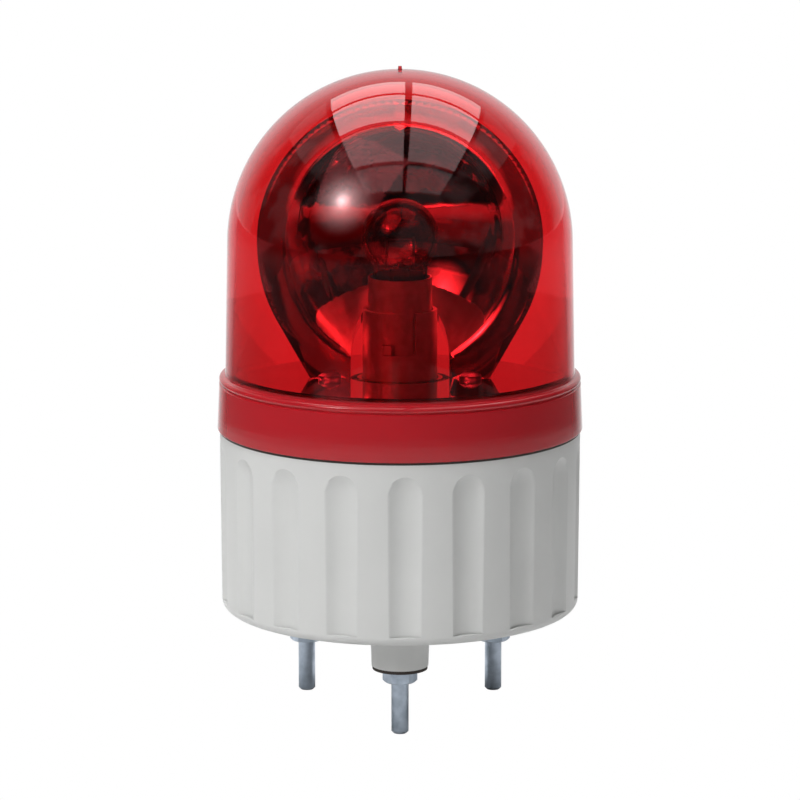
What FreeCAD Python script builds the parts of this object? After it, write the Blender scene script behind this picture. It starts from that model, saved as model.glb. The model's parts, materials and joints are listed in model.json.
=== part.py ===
"""Rotating beacon: a red lens over a turning reflector, on a fluted housing with three studs.

Everything is measured from the housing's rim plane, and every sub-part is lifted by stud_reach,
so the part's origin lies on the axis at the level of the stud tips. -Y is the front, +Z is up.
"""
import FreeCAD
import Part
import math
import os
import Sketcher
from FreeCAD import Placement, Rotation, Vector

DIMENSIONS = {
    # Housing, measured from its rim plane
    "stud_reach": 24.5,
    "rim_taper": 0.25,
    "rim_radius": "=shoulder_radius - rim_taper",
    "shoulder_radius": 42.45,
    "shoulder_height": 42.4,
    "rim_round": 2.1,
    "housing_wall": 2.6,
    "floor_thickness": 2.5,
    "neck_inset": 2.05,
    "neck_radius": "=shoulder_radius - neck_inset",
    "neck_wall": 2.4,
    "neck_rise": 9.6,
    "neck_height": "=shoulder_height + neck_rise",
    "running_gap": 0.05,
    "soft_gap": 0.3,
    # Flutes round the housing
    "flute_count": 18,
    "flute_phase": 11.6,
    "flute_width": 7.4,
    "flute_cutter_radius": 7.5,
    "flute_drop": 3.4,
    "flute_top": "=shoulder_height - flute_drop",
    "flute_foot": 2.2,
    # Stud bosses, studs, washers and nuts
    "stud_count": 3,
    "stud_circle_radius": 26.0,
    "stud_phase": -90.0,
    "boss_top_radius": 6.9,
    "boss_tip_radius": 6.6,
    "boss_drop": 8.2,
    "shank_radius": 1.75,
    "thread_radius": 2.0,
    "stud_head_radius": 3.8,
    "stud_head_height": 2.2,
    "washer_radius": 6.4,
    "washer_thickness": 0.8,
    "nut_flats": 7.0,
    "nut_height": 3.2,
    "tip_chamfer": 0.5,
    # Posts that carry the chassis plate and the circuit board
    "post_inset": 5.0,
    "post_circle_radius": "=neck_radius - neck_wall - post_inset",
    "post_phase": 60.0,
    "post_radius": 3.4,
    "chassis_rise": 1.6,
    "chassis_level": "=shoulder_height + chassis_rise",
    "board_post_inset": 6.0,
    "board_post_circle_radius": "=board_radius - board_post_inset",
    "board_post_phase": 0.0,
    "board_post_radius": 3.0,
    "board_level": 8.0,
    "board_thickness": 1.6,
    "board_gap": 1.6,
    "board_radius": "=post_circle_radius - post_radius - board_gap",
    "screw_radius": 1.25,
    "screw_head_radius": 2.6,
    "screw_head_height": 1.6,
    "screw_bite": 7.0,
    # Cable entry
    "grommet_bore_radius": 3.0,
    "grommet_neck_radius": 6.0,
    "grommet_lip_radius": 8.0,
    "grommet_lip": 1.5,
    # Bayonet between the housing neck and the lens
    "lug_count": 3,
    "lug_phase": -60.0,
    "lug_angle": 9.0,
    "lug_height": 2.2,
    "lug_rise": 3.9,
    "lug_level": "=shoulder_height + lug_rise",
    "lug_clearance": 0.2,
    "bayonet_travel": 18.0,
    "channel_depth": 1.3,
    # Gasket and lens
    "gasket_thickness": 0.6,
    "collar_overhang": 0.55,
    "collar_foot_radius": "=shoulder_radius + collar_overhang",
    "collar_draft": 0.5,
    "collar_radius": "=collar_foot_radius - collar_draft",
    "collar_height": 11.0,
    "collar_top": "=shoulder_height + gasket_thickness + collar_height",
    "bead_height": 2.0,
    "bead_step": 1.0,
    "bead_neck_radius": "=collar_radius - bead_step",
    "neck_step": 0.5,
    "lens_foot_radius": "=bead_neck_radius - neck_step",
    "foot_rise": 3.4,
    "lens_foot": "=collar_top + foot_rise",
    "lens_draft": 0.6,
    "lens_radius": "=lens_foot_radius - lens_draft",
    "wall_share": 0.7277227723,
    "lens_centre": "=lens_foot + lens_radius * wall_share",
    "lens_wall": 2.0,
    "gate_radius": 0.5,
    "gate_height": 0.9,
    # Chassis plate and the bush that the turntable runs on
    "plate_gap": 0.6,
    "plate_radius": "=neck_radius - neck_wall - plate_gap",
    "plate_thickness": 1.6,
    "lead_hole_radius": 5.0,
    "bush_radius": 10.0,
    "bush_wall": 1.0,
    "thrust_washer_thickness": 0.8,
    "clip_thickness": 0.8,
    "clip_reach": 1.2,
    "clip_groove": 0.4,
    "clip_mouth": 40.0,
    # Turntable gear and reflector
    "hub_radius": 13.0,
    "hub_rise": 11.5,
    "hub_top": "=chassis_level + hub_rise",
    "seat_gap": 1.5,
    "seat_radius": "=wheel_module * wheel_teeth / 2 - seat_gap",
    "wheel_drop": 4.5,
    "wheel_bottom": "=hub_top - wheel_drop",
    "wheel_face": 3.0,
    "table_thickness": 1.5,
    "table_gap": 0.4,
    "table_radius": "=lens_radius - lens_wall - table_gap",
    "lamp_clearance_radius": 11.5,
    "dish_inset": 6.9,
    "dish_radius": "=lens_radius - dish_inset",
    "ring_width": 5.0,
    "mouth_radius": "=dish_radius - ring_width",
    "cone_width": 3.5,
    "bowl_radius": "=mouth_radius - cone_width",
    "focal_share": 0.552,
    "focal_length": "=bowl_radius * focal_share",
    "dish_wall": 1.3,
    "dish_front": -0.8,
    "dish_lip": 1.2,
    "dish_foot_inset": 13.0,
    "dish_foot_half_width": "=dish_radius - dish_foot_inset",
    "rib_inset": 3.5,
    "rib_offset": "=dish_foot_half_width - rib_inset",
    "rib_foot": 16.0,
    "rib_height": 14.0,
    "rib_thickness": 1.4,
    "table_screw_inset": 4.2,
    "table_screw_x": "=dish_foot_half_width - table_screw_inset",
    "table_screw_y": -3.7,
    # Gear train
    "gear_share": 53.4285714286,
    "wheel_module": "=plate_radius / gear_share",
    "wheel_teeth": 60,
    "idler_small_teeth": 12,
    "motor_module": "=wheel_module * 5 / 7",
    "idler_large_teeth": 36,
    "motor_teeth": 12,
    "pressure_angle": 20.0,
    "tooth_backlash": 0.12,
    "idler_phase": 90.0,
    "idler_rise": 2.3,
    "idler_bottom": "=chassis_level + idler_rise",
    "idler_shoulder": 0.7,
    "idler_gear_bottom": "=idler_bottom + idler_shoulder",
    "idler_gear_face": 2.5,
    "idler_headroom": 1.2,
    "idler_top": "=hub_top - idler_headroom",
    "idler_pin_radius": 1.5,
    "idler_clip_thickness": 0.5,
    # Motor
    "motor_gap": 1.2,
    "motor_radius": "=plate_radius - wheel_module * (wheel_teeth + idler_small_teeth) / 2 - motor_gap",
    "motor_length": 22.0,
    "motor_boss_radius": 3.0,
    "motor_boss_height": 2.0,
    "motor_shaft_radius": 1.0,
    "shaft_rise": 3.2,
    "motor_shaft_top": "=idler_gear_bottom + shaft_rise",
    "motor_screw_offset": 8.0,
    "motor_screw_radius": 1.0,
    "motor_screw_head_radius": 2.0,
    "motor_screw_head_height": 1.0,
    # Lamp holder and lamp
    "holder_radius": 8.7,
    "holder_wall": 0.9,
    "holder_drop": 14.8,
    "holder_top": "=lens_centre - holder_drop",
    "slot_half_width": 1.25,
    "slot_phase": -73.0,
    "slot_turn": 36.0,
    "pin_drop": 8.0,
    "pin_level": "=holder_top - pin_drop",
    "pin_radius": 1.0,
    "insulator_drop": 8.0,
    "insulator_top": "=pin_level - insulator_drop",
    "well_radius": 3.4,
    "well_depth": 7.5,
    "well_floor": "=insulator_top - well_depth",
    "plunger_radius": 3.2,
    "plunger_rise": 2.0,
    "plunger_top": "=insulator_top + plunger_rise",
    "plunger_length": 3.5,
    "coil_radius": 2.4,
    "coil_wire_radius": 0.35,
    "coil_turns": 4.0,
    "cap_radius": 7.5,
    "cap_wall": 0.5,
    "cap_drop": 4.5,
    "cap_bottom": "=pin_level - cap_drop",
    "cap_height": 19.5,
    "cap_top": "=cap_bottom + cap_height",
    "contact_radius": 3.0,
    "globe_radius": 9.1,
    "globe_rise": 1.2,
    "globe_centre": "=lens_centre + globe_rise",
    "glass_wall": 0.6,
    "glass_neck_radius": 6.4,
    "glass_bite": 5.0,
    "glass_foot": "=cap_top - glass_bite",
    "stem_radius": 2.4,
    "stem_drop": 6.0,
    "stem_top": "=globe_centre - stem_drop",
    "filament_half_span": 3.2,
    "filament_wire_radius": 0.3,
    # Terminal block on the circuit board
    "terminal_inset": 12.0,
    "terminal_offset": "=board_radius - terminal_inset",
    "terminal_width": 8.0,
    "terminal_length": 20.0,
    "terminal_height": 9.0,
    "terminal_ways": 3,
    "terminal_hole_radius": 1.4,
}

doc = FreeCAD.newDocument("rotating_beacon")
sheet = doc.addObject("Spreadsheet::Sheet", "Sizes")
for row, (alias, value) in enumerate(DIMENSIONS.items(), 1):
    sheet.set(f"A{row}", alias)
    sheet.set(f"B{row}", str(value))
    sheet.setAlias(f"B{row}", alias)
doc.recompute()

sub_parts = []


def value_of(text):
    """The number that an expression in the sheet's words gives."""
    result = sheet.evalExpression(str(text))
    return float(getattr(result, "Value", result))


def bind(item, path, text):
    """Bind one property to an expression in the sheet's words."""
    item.setExpression(path, in_sheet(text))


def in_sheet(text):
    """The expression with each of the sheet's words read from the sheet."""
    words, word = [], ""
    for letter in str(text) + " ":
        if letter.isalnum() or letter == "_":
            word += letter
        else:
            words += ["Sizes." + word if word in DIMENSIONS else word, letter]
            word = ""
    return "".join(words).strip()


def new_body(label, x="0", y="0"):
    """A body of its own, with its origin over (x, y) in the rim plane."""
    body = doc.addObject("PartDesign::Body", label)
    body.Label = label
    body.AllowCompound = True
    bind(body, "Placement.Base.x", x)
    bind(body, "Placement.Base.y", y)
    bind(body, "Placement.Base.z", "stud_reach")
    sub_parts.append(body)
    return body


def origin_feature(body, role):
    """One of the body's own planes or axes."""
    return next(f for f in body.Origin.OriginFeatures if f.Role == role)


def new_sketch(body, name, plane, shift=("0", "0", "0")):
    """A sketch on one of the body's planes, moved by shift in the sketch's own axes."""
    sketch = body.newObject("Sketcher::SketchObject", name)
    sketch.AttachmentSupport = [(origin_feature(body, plane), "")]
    sketch.MapMode = "FlatFace"
    for axis, text in zip("xyz", shift):
        if text != "0":
            bind(sketch, f"AttachmentOffset.Base.{axis}", text)
    return sketch


def fix_point(sketch, geometry, end, x, y):
    """Hold one point of a sketch at (x, y)."""
    for kind, text, other_axis in (("DistanceX", x, -2), ("DistanceY", y, -1)):
        if text == "0":
            sketch.addConstraint(Sketcher.Constraint("PointOnObject", geometry, end, other_axis))
            continue
        index = sketch.addConstraint(Sketcher.Constraint(kind, -1, 1, geometry, end, value_of(text)))
        bind(sketch, f"Constraints[{index}]", text)


def add_outline(sketch, corners):
    """A closed outline. A corner is (x, y), or (x, y, radius, side) where an arc starts there.

    The arc runs to the next corner, with its centre to the left (side 1) or right (-1).
    """
    places = [Vector(value_of(c[0]), value_of(c[1]), 0) for c in corners]
    edges = []
    for i, corner in enumerate(corners):
        start = places[i]
        end = places[(i + 1) % len(corners)]
        if len(corner) == 2:
            edges.append((sketch.addGeometry(Part.LineSegment(start, end), False), 1, 2))
            continue
        radius = value_of(corner[2])
        chord = end - start
        half = chord.Length / 2
        left = Vector(-chord.y, chord.x, 0).normalize()
        centre = (start + end) / 2 + left * corner[3] * math.sqrt(max(radius**2 - half**2, 0))
        angles = [math.atan2(p.y - centre.y, p.x - centre.x) for p in (start, end)]
        circle = Part.Circle(centre, Vector(0, 0, 1), radius)
        if corner[3] > 0:
            edges.append((sketch.addGeometry(Part.ArcOfCircle(circle, *angles), False), 1, 2))
        else:
            edges.append((sketch.addGeometry(Part.ArcOfCircle(circle, *angles[::-1]), False), 2, 1))
        index = sketch.addConstraint(Sketcher.Constraint("Radius", edges[-1][0], radius))
        bind(sketch, f"Constraints[{index}]", corner[2])
    for i, (edge, start, end) in enumerate(edges):
        following = edges[(i + 1) % len(edges)]
        sketch.addConstraint(Sketcher.Constraint("Coincident", edge, end, following[0], following[1]))
        fix_point(sketch, edge, start, corners[i][0], corners[i][1])


def add_circle(sketch, x, y, radius):
    """A circle at (x, y)."""
    circle = Part.Circle(Vector(value_of(x), value_of(y), 0), Vector(0, 0, 1), value_of(radius))
    edge = sketch.addGeometry(circle, False)
    fix_point(sketch, edge, 3, x, y)
    index = sketch.addConstraint(Sketcher.Constraint("Radius", edge, circle.Radius))
    bind(sketch, f"Constraints[{index}]", radius)


def turned(body, name, corners, shift=("0", "0", "0"), plane="XZ_Plane", axis="V_Axis", cut=False):
    """Turn an outline about an axis of its sketch, as new material or as a groove."""
    sketch = new_sketch(body, name + "_outline", plane, shift)
    add_outline(sketch, corners)
    feature = body.newObject("PartDesign::Groove" if cut else "PartDesign::Revolution", name)
    feature.Profile = sketch
    feature.ReferenceAxis = (sketch, [axis])
    feature.Angle = 360
    return feature


def raised(body, name, draw, bottom, height, plane="XY_Plane"):
    """Pad what draw(sketch) draws, from bottom over height along the plane's normal."""
    sketch = new_sketch(body, name + "_outline", plane, ("0", "0", bottom))
    draw(sketch)
    feature = body.newObject("PartDesign::Pad", name)
    feature.Profile = sketch
    bind(feature, "Length", height)
    return feature


def cut_out(body, name, draw, bottom, height, plane="XY_Plane"):
    """Pocket what draw(sketch) draws, from bottom over height along the plane's normal."""
    sketch = new_sketch(body, name + "_outline", plane, ("0", "0", bottom))
    draw(sketch)
    feature = body.newObject("PartDesign::Pocket", name)
    feature.Profile = sketch
    feature.Reversed = True
    bind(feature, "Length", height)
    return feature


def ring_pattern(body, name, features, count):
    """Repeat features evenly round the body's Z axis."""
    doc.recompute()
    pattern = body.newObject("PartDesign::PolarPattern", name)
    pattern.Originals = features
    pattern.Axis = (origin_feature(body, "Z_Axis"), [""])
    pattern.Angle = 360
    bind(pattern, "Occurrences", count)
    body.Tip = pattern
    return pattern


def polar(radius, angle):
    """The x and y expressions of a point on a circle about the axis."""
    return f"{radius} * cos({angle} * 1 deg)", f"{radius} * sin({angle} * 1 deg)"


def beside_axis(radius, angle):
    """The shift that puts an XZ sketch's vertical axis over a point on a circle."""
    x, y = polar(radius, angle)
    return x, "0", f"-{y}"


def box_outline(left, bottom, right, top):
    """A rectangle's corners."""
    return [(left, bottom), (right, bottom), (right, top), (left, top)]


def sector(inner, outer, middle, half_angle):
    """The corners of a piece of a ring, about a middle angle."""
    first = f"({middle} - ({half_angle}))"
    last = f"({middle} + {half_angle})"
    return [
        polar(inner, first),
        (*polar(outer, first), outer, 1),
        polar(outer, last),
        (*polar(inner, last), inner, -1),
    ]


def hex_corners(flats, x, y):
    """The corners of a hexagon about (x, y), with a corner towards +X."""
    corner_radius = f"{flats} / sqrt(3)"
    places = [polar(corner_radius, str(60 * i)) for i in range(6)]
    return [(f"{x} + {px}", f"{y} + {py}") for px, py in places]


def screw_corners(shank, head, head_height, tip, seat):
    """Half the outline of a pan-head screw that points down, with its head on seat."""
    return [
        ("0", tip),
        (shank, tip),
        (shank, seat),
        (head, seat),
        (head, f"{seat} + {head_height} * 0.55"),
        (f"{head} * 0.6", f"{seat} + {head_height}"),
        ("0", f"{seat} + {head_height}"),
    ]


# ---------------------------------------------------------------- housing

def build_housing():
    """The fluted housing with its stud bosses, posts and bayonet neck."""
    body = new_body("base_housing")
    inner = "(rim_radius - housing_wall)"
    neck_inner = "(neck_radius - neck_wall)"
    turned(body, "shell", [
        ("grommet_neck_radius", "0"),
        ("rim_radius - rim_round", "0", "rim_round", 1),
        ("rim_radius", "rim_round"),
        ("shoulder_radius", "shoulder_height"),
        ("neck_radius", "shoulder_height"),
        ("neck_radius", "neck_height"),
        (neck_inner, "neck_height"),
        (neck_inner, "shoulder_height - neck_wall"),
        (inner, "shoulder_height - 2 * neck_wall"),
        (inner, "floor_thickness"),
        ("grommet_neck_radius", "floor_thickness"),
    ])
    cutter_place = ("(rim_radius + sqrt(flute_cutter_radius^2 - (flute_width / 2)^2)"
                    " - (rim_radius - sqrt(rim_radius^2 - (flute_width / 2)^2)))")
    flute = turned(body, "flute", [
        ("0", "flute_foot"),
        ("0", "flute_top - flute_width / 2 + flute_cutter_radius", "flute_cutter_radius", 1),
        ("-flute_cutter_radius", "flute_top - flute_width / 2"),
        ("-flute_cutter_radius", "flute_foot"),
    ], beside_axis(cutter_place, "flute_phase"), cut=True)
    ring_pattern(body, "flutes", [flute], "flute_count")
    boss = turned(body, "boss", [
        ("0", "-boss_drop"),
        ("boss_tip_radius", "-boss_drop"),
        ("boss_top_radius", "floor_thickness / 2"),
        ("0", "floor_thickness / 2"),
    ], beside_axis("stud_circle_radius", "stud_phase"))
    post = raised(body, "post", lambda s: add_circle(
        s, *polar("post_circle_radius", "post_phase"), "post_radius"),
        "floor_thickness / 2", "chassis_level - floor_thickness / 2")
    board_post = raised(body, "board_post", lambda s: add_circle(
        s, *polar("board_post_circle_radius", "board_post_phase"), "board_post_radius"),
        "floor_thickness / 2", "board_level - floor_thickness / 2")
    ring_pattern(body, "bosses", [boss, post, board_post], "stud_count")
    stud_hole = cut_out(body, "stud_hole", lambda s: add_circle(
        s, *polar("stud_circle_radius", "stud_phase"), "shank_radius + running_gap"),
        "-boss_drop", "boss_drop + floor_thickness")
    post_hole = cut_out(body, "post_hole", lambda s: add_circle(
        s, *polar("post_circle_radius", "post_phase"), "screw_radius + running_gap"),
        "chassis_level - screw_bite", "screw_bite")
    board_hole = cut_out(body, "board_post_hole", lambda s: add_circle(
        s, *polar("board_post_circle_radius", "board_post_phase"), "screw_radius + running_gap"),
        "floor_thickness", "board_level - floor_thickness")
    ring_pattern(body, "holes", [stud_hole, post_hole, board_hole], "stud_count")
    channel_radius = "(neck_radius - channel_depth)"
    outside = "(neck_radius + 1)"
    half_lug = "(lug_angle / 2 + 0.5)"
    entry = cut_out(body, "bayonet_entry", lambda s: add_outline(s, sector(
        channel_radius, outside, "(lug_phase + bayonet_travel)", half_lug)),
        "lug_level - lug_clearance", "neck_height - lug_level + lug_clearance")
    channel = cut_out(body, "bayonet_channel", lambda s: add_outline(s, sector(
        channel_radius, outside, "(lug_phase + bayonet_travel / 2)",
        f"(bayonet_travel / 2 + {half_lug})")),
        "lug_level - lug_clearance", "lug_height + 2 * lug_clearance")
    ring_pattern(body, "bayonet", [entry, channel], "lug_count")


def build_mounting():
    """The studs, their rubber washers and their nuts."""
    place = beside_axis("stud_circle_radius", "stud_phase")
    nut_top = "(-boss_drop - washer_thickness)"
    nut_bottom = f"({nut_top} - nut_height)"
    studs = new_body("mounting_studs")
    stud = turned(studs, "stud", [
        ("0", "-stud_reach"),
        ("thread_radius - tip_chamfer", "-stud_reach"),
        ("thread_radius", "tip_chamfer - stud_reach"),
        ("thread_radius", nut_bottom),
        ("shank_radius", nut_bottom),
        ("shank_radius", "floor_thickness"),
        ("stud_head_radius", "floor_thickness"),
        ("stud_head_radius", "floor_thickness + stud_head_height"),
        ("0", "floor_thickness + stud_head_height"),
    ], place)
    ring_pattern(studs, "studs", [stud], "stud_count")
    washers = new_body("stud_washers")
    washer = turned(washers, "washer", [
        ("shank_radius + running_gap", "-boss_drop - washer_thickness"),
        ("washer_radius", "-boss_drop - washer_thickness"),
        ("washer_radius", "-boss_drop"),
        ("shank_radius + running_gap", "-boss_drop"),
    ], place)
    ring_pattern(washers, "washers", [washer], "stud_count")
    nuts = new_body("stud_nuts")
    x, y = polar("stud_circle_radius", "stud_phase")

    def draw_nut(sketch):
        add_outline(sketch, hex_corners("nut_flats", x, y))
        add_circle(sketch, x, y, "shank_radius + running_gap")

    nut = raised(nuts, "nut", draw_nut, nut_bottom, "nut_height")
    bevel = turned(nuts, "bevel", [
        ("nut_flats / 2 - 0.1", f"{nut_bottom}"),
        ("nut_flats", f"{nut_bottom}"),
        ("nut_flats", f"{nut_bottom} + nut_flats / 3"),
    ], place, cut=True)
    top_bevel = turned(nuts, "top_bevel", [
        ("nut_flats / 2 + 0.1", f"{nut_top}"),
        ("nut_flats", f"{nut_top} - nut_flats / 4"),
        ("nut_flats", f"{nut_top}"),
    ], place, cut=True)
    ring_pattern(nuts, "nuts", [nut, bevel, top_bevel], "stud_count")


def build_grommet():
    """The rubber grommet in the cable entry."""
    body = new_body("cable_grommet")
    neck = "(grommet_neck_radius - running_gap)"
    turned(body, "grommet", [
        ("grommet_bore_radius", "-grommet_lip"),
        ("grommet_lip_radius - grommet_lip", "-grommet_lip"),
        ("grommet_lip_radius", "0"),
        (neck, "0"),
        (neck, "floor_thickness"),
        ("grommet_lip_radius", "floor_thickness"),
        ("grommet_lip_radius - grommet_lip / 2", "floor_thickness + grommet_lip"),
        ("grommet_bore_radius", "floor_thickness + grommet_lip"),
    ])


# ---------------------------------------------------------------- lens

def build_lens():
    """The gasket and the domed lens with its collar, bead and bayonet lugs."""
    gasket = new_body("lens_gasket")
    turned(gasket, "ring", box_outline(
        "neck_radius + running_gap", "shoulder_height",
        "shoulder_radius", "shoulder_height + gasket_thickness"))
    body = new_body("lens_dome")
    foot = "(shoulder_height + gasket_thickness)"
    bore = "(neck_radius + soft_gap)"
    apex = "(lens_centre + lens_radius)"
    turned(body, "shell", [
        (bore, foot),
        ("collar_foot_radius", foot),
        ("collar_radius", "collar_top"),
        ("bead_neck_radius + 0.6", "collar_top + 0.3"),
        ("collar_radius", "collar_top + 0.6", "bead_height * 0.6", 1),
        ("bead_neck_radius", "collar_top + bead_height"),
        ("lens_foot_radius", "lens_foot"),
        ("lens_radius", "lens_centre", "lens_radius", 1),
        ("gate_radius", "lens_centre + sqrt(lens_radius^2 - gate_radius^2)"),
        ("gate_radius", f"{apex} + gate_height"),
        ("0", f"{apex} + gate_height"),
        ("0", f"{apex} - lens_wall", "lens_radius - lens_wall", -1),
        ("lens_radius - lens_wall", "lens_centre"),
        ("lens_foot_radius - lens_wall", "lens_foot"),
        (bore, "collar_top"),
    ])
    lug = raised(body, "lug", lambda s: add_outline(s, sector(
        "(neck_radius - channel_depth + lug_clearance)", "(neck_radius + soft_gap + lens_wall / 2)",
        "lug_phase", "lug_angle / 2")), "lug_level", "lug_height")
    ring_pattern(body, "lugs", [lug], "lug_count")


# ---------------------------------------------------------------- chassis

PLATE_TOP = "(chassis_level + plate_thickness)"
CENTRE_DISTANCE = "(wheel_module * (wheel_teeth + idler_small_teeth) / 2)"
MOTOR_DISTANCE = "(motor_module * (idler_large_teeth + motor_teeth) / 2)"
MOTOR_PHASE = f"(idler_phase + 2 * asin({MOTOR_DISTANCE} / 2 / {CENTRE_DISTANCE}) / 1 deg)"
# The motor's screws lie square to the line from the motor to the idler.
MOTOR_SCREW_PHASE = f"(({MOTOR_PHASE} + idler_phase) / 2)"
TABLE_TOP = "(hub_top + table_thickness)"
RING_FACE = "(dish_front + dish_lip / 3)"


def motor_screw_place(side):
    """The x and y expressions of one of the motor's two screws."""
    x, y = polar(CENTRE_DISTANCE, MOTOR_PHASE)
    dx, dy = polar(f"{side} * motor_screw_offset", MOTOR_SCREW_PHASE)
    return f"{x} + {dx}", f"{y} + {dy}"


def build_chassis():
    """The plate across the neck, its screws, and the bush with its washer and clip."""
    body = new_body("chassis_plate")

    def draw_plate(sketch):
        add_circle(sketch, "0", "0", "plate_radius")
        add_circle(sketch, "0", "0", "lead_hole_radius")
        add_circle(sketch, *polar(CENTRE_DISTANCE, "idler_phase"), "idler_pin_radius + running_gap")
        add_circle(sketch, *polar(CENTRE_DISTANCE, MOTOR_PHASE), "motor_boss_radius + running_gap")
        for side in (-1, 1):
            add_circle(sketch, *motor_screw_place(side), "motor_screw_radius + running_gap")

    raised(body, "plate", draw_plate, "chassis_level", "plate_thickness")
    hole = cut_out(body, "screw_hole", lambda s: add_circle(
        s, *polar("post_circle_radius", "post_phase"), "screw_radius + running_gap"),
        "chassis_level", "plate_thickness")
    ring_pattern(body, "screw_holes", [hole], "stud_count")
    screws = new_body("chassis_screws")
    screw = turned(screws, "screw", screw_corners(
        "screw_radius", "screw_head_radius", "screw_head_height",
        "chassis_level - screw_bite + 1", PLATE_TOP), beside_axis("post_circle_radius", "post_phase"))
    ring_pattern(screws, "screws", [screw], "stud_count")
    bush = new_body("turntable_bush")
    groove = "(hub_top + running_gap)"
    turned(bush, "bush", [
        ("bush_radius - bush_wall", PLATE_TOP),
        ("bush_radius", PLATE_TOP),
        ("bush_radius", groove),
        ("bush_radius - clip_groove", groove),
        ("bush_radius - clip_groove", f"{groove} + clip_thickness"),
        ("bush_radius", f"{groove} + clip_thickness"),
        ("bush_radius", f"{groove} + 2 * clip_thickness"),
        ("bush_radius - bush_wall", f"{groove} + 2 * clip_thickness"),
    ])
    washer = new_body("thrust_washer")
    turned(washer, "washer", box_outline(
        "bush_radius + running_gap", PLATE_TOP,
        "hub_radius", f"{PLATE_TOP} + thrust_washer_thickness"))
    clip = new_body("bush_clip")
    half_mouth = "(180 - clip_mouth / 2)"
    raised(clip, "clip", lambda s: add_outline(s, wide_sector(
        "(bush_radius - clip_groove + running_gap / 2)", "(bush_radius + clip_reach)", half_mouth)),
        f"{groove} + running_gap / 2", "clip_thickness - running_gap")


def wide_sector(inner, outer, half_angle):
    """The corners of a ring open at the back, in four arcs about -Y."""
    first, middle, last = (f"(-90 - {half_angle})", "-90", f"(-90 + {half_angle})")
    return [
        polar(inner, first),
        (*polar(outer, first), outer, 1),
        (*polar(outer, middle), outer, 1),
        polar(outer, last),
        (*polar(inner, last), inner, -1),
        (*polar(inner, middle), inner, -1),
    ]


def build_board():
    """The circuit board and its screws."""
    body = new_body("circuit_board")

    def draw_board(sketch):
        add_circle(sketch, "0", "0", "board_radius")
        add_circle(sketch, "0", "0", "grommet_lip_radius")

    raised(body, "board", draw_board, "board_level", "board_thickness")
    hole = cut_out(body, "screw_hole", lambda s: add_circle(
        s, *polar("board_post_circle_radius", "board_post_phase"), "screw_radius + running_gap"),
        "board_level", "board_thickness")
    ring_pattern(body, "screw_holes", [hole], "stud_count")
    screws = new_body("board_screws")
    screw = turned(screws, "screw", screw_corners(
        "screw_radius", "screw_head_radius", "screw_head_height", "floor_thickness + 1",
        "board_level + board_thickness"), beside_axis("board_post_circle_radius", "board_post_phase"))
    ring_pattern(screws, "screws", [screw], "stud_count")


def build_terminals():
    """The terminal block, with a wire entry and a screw well for each way."""
    body = new_body("terminal_block")
    bottom = "(board_level + board_thickness)"
    right = "(terminal_width / 2 - terminal_offset)"
    left = "(-terminal_width / 2 - terminal_offset)"
    raised(body, "block", lambda s: add_outline(s, box_outline(
        left, "-terminal_length / 2", right, "terminal_length / 2")), bottom, "terminal_height")
    pitch = "(terminal_length / terminal_ways)"
    first = f"({pitch} / 2 - terminal_length / 2)"
    well = cut_out(body, "screw_well", lambda s: add_circle(
        s, "-terminal_offset", first, "terminal_hole_radius"),
        f"{bottom} + terminal_height / 2", "terminal_height / 2")
    entry = cut_out(body, "wire_entry", lambda s: add_circle(
        s, first, f"{bottom} + terminal_height / 3", "terminal_hole_radius"),
        f"{right} - terminal_width / 2", "terminal_width / 2", "YZ_Plane")
    doc.recompute()
    row = body.newObject("PartDesign::LinearPattern", "ways")
    row.Originals = [well, entry]
    row.Direction = (origin_feature(body, "Y_Axis"), [""])
    bind(row, "Length", f"{pitch} * (terminal_ways - 1)")
    bind(row, "Occurrences", "terminal_ways")
    body.Tip = row


# ---------------------------------------------------------------- turning parts

def turned_dish(body, name, front, wall, shift, cut):
    """A cone and a paraboloid about the Y axis, focused on the lamp's axis, wall further back.

    A parabola's arc is a Bezier curve of three poles: its ends, and where their tangents meet.
    """
    sketch = new_sketch(body, name + "_outline", "YZ_Plane", shift)
    apex_depth = f"({wall} + focal_length)"
    rim_depth = f"({apex_depth} - bowl_radius^2 / 4 / focal_length)"
    mouth = f"(mouth_radius + {wall})"
    corners = [
        (apex_depth, "0"),
        (front, "0"),
        (front, mouth),
        (RING_FACE, mouth),
        (rim_depth, "bowl_radius"),
    ]
    places = [Vector(value_of(x), value_of(y), 0) for x, y in corners]
    lines = [sketch.addGeometry(Part.LineSegment(start, end), False)
             for start, end in zip(places, places[1:])]
    poles = [corners[-1], (apex_depth, "bowl_radius / 2"), corners[0]]
    curve = Part.BSplineCurve()
    curve.buildFromPoles([Vector(value_of(x), value_of(y), 0) for x, y in poles], False, 2)
    edge = sketch.addGeometry(curve, False)
    sketch.exposeInternalGeometry(edge)
    marks = [i for i, g in enumerate(sketch.Geometry) if isinstance(g, Part.Circle)]
    for mark, pole in zip(marks, poles):
        fix_point(sketch, mark, 3, *pole)
    for line, following in zip(lines, lines[1:]):
        sketch.addConstraint(Sketcher.Constraint("Coincident", line, 2, following, 1))
    sketch.addConstraint(Sketcher.Constraint("Coincident", lines[-1], 2, edge, 1))
    sketch.addConstraint(Sketcher.Constraint("Coincident", edge, 2, lines[0], 1))
    for line, corner in zip(lines[1:], corners[1:]):
        fix_point(sketch, line, 1, *corner)
    feature = body.newObject("PartDesign::Groove" if cut else "PartDesign::Revolution", name)
    feature.Profile = sketch
    feature.ReferenceAxis = (sketch, ["H_Axis"])
    feature.Angle = 360


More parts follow.
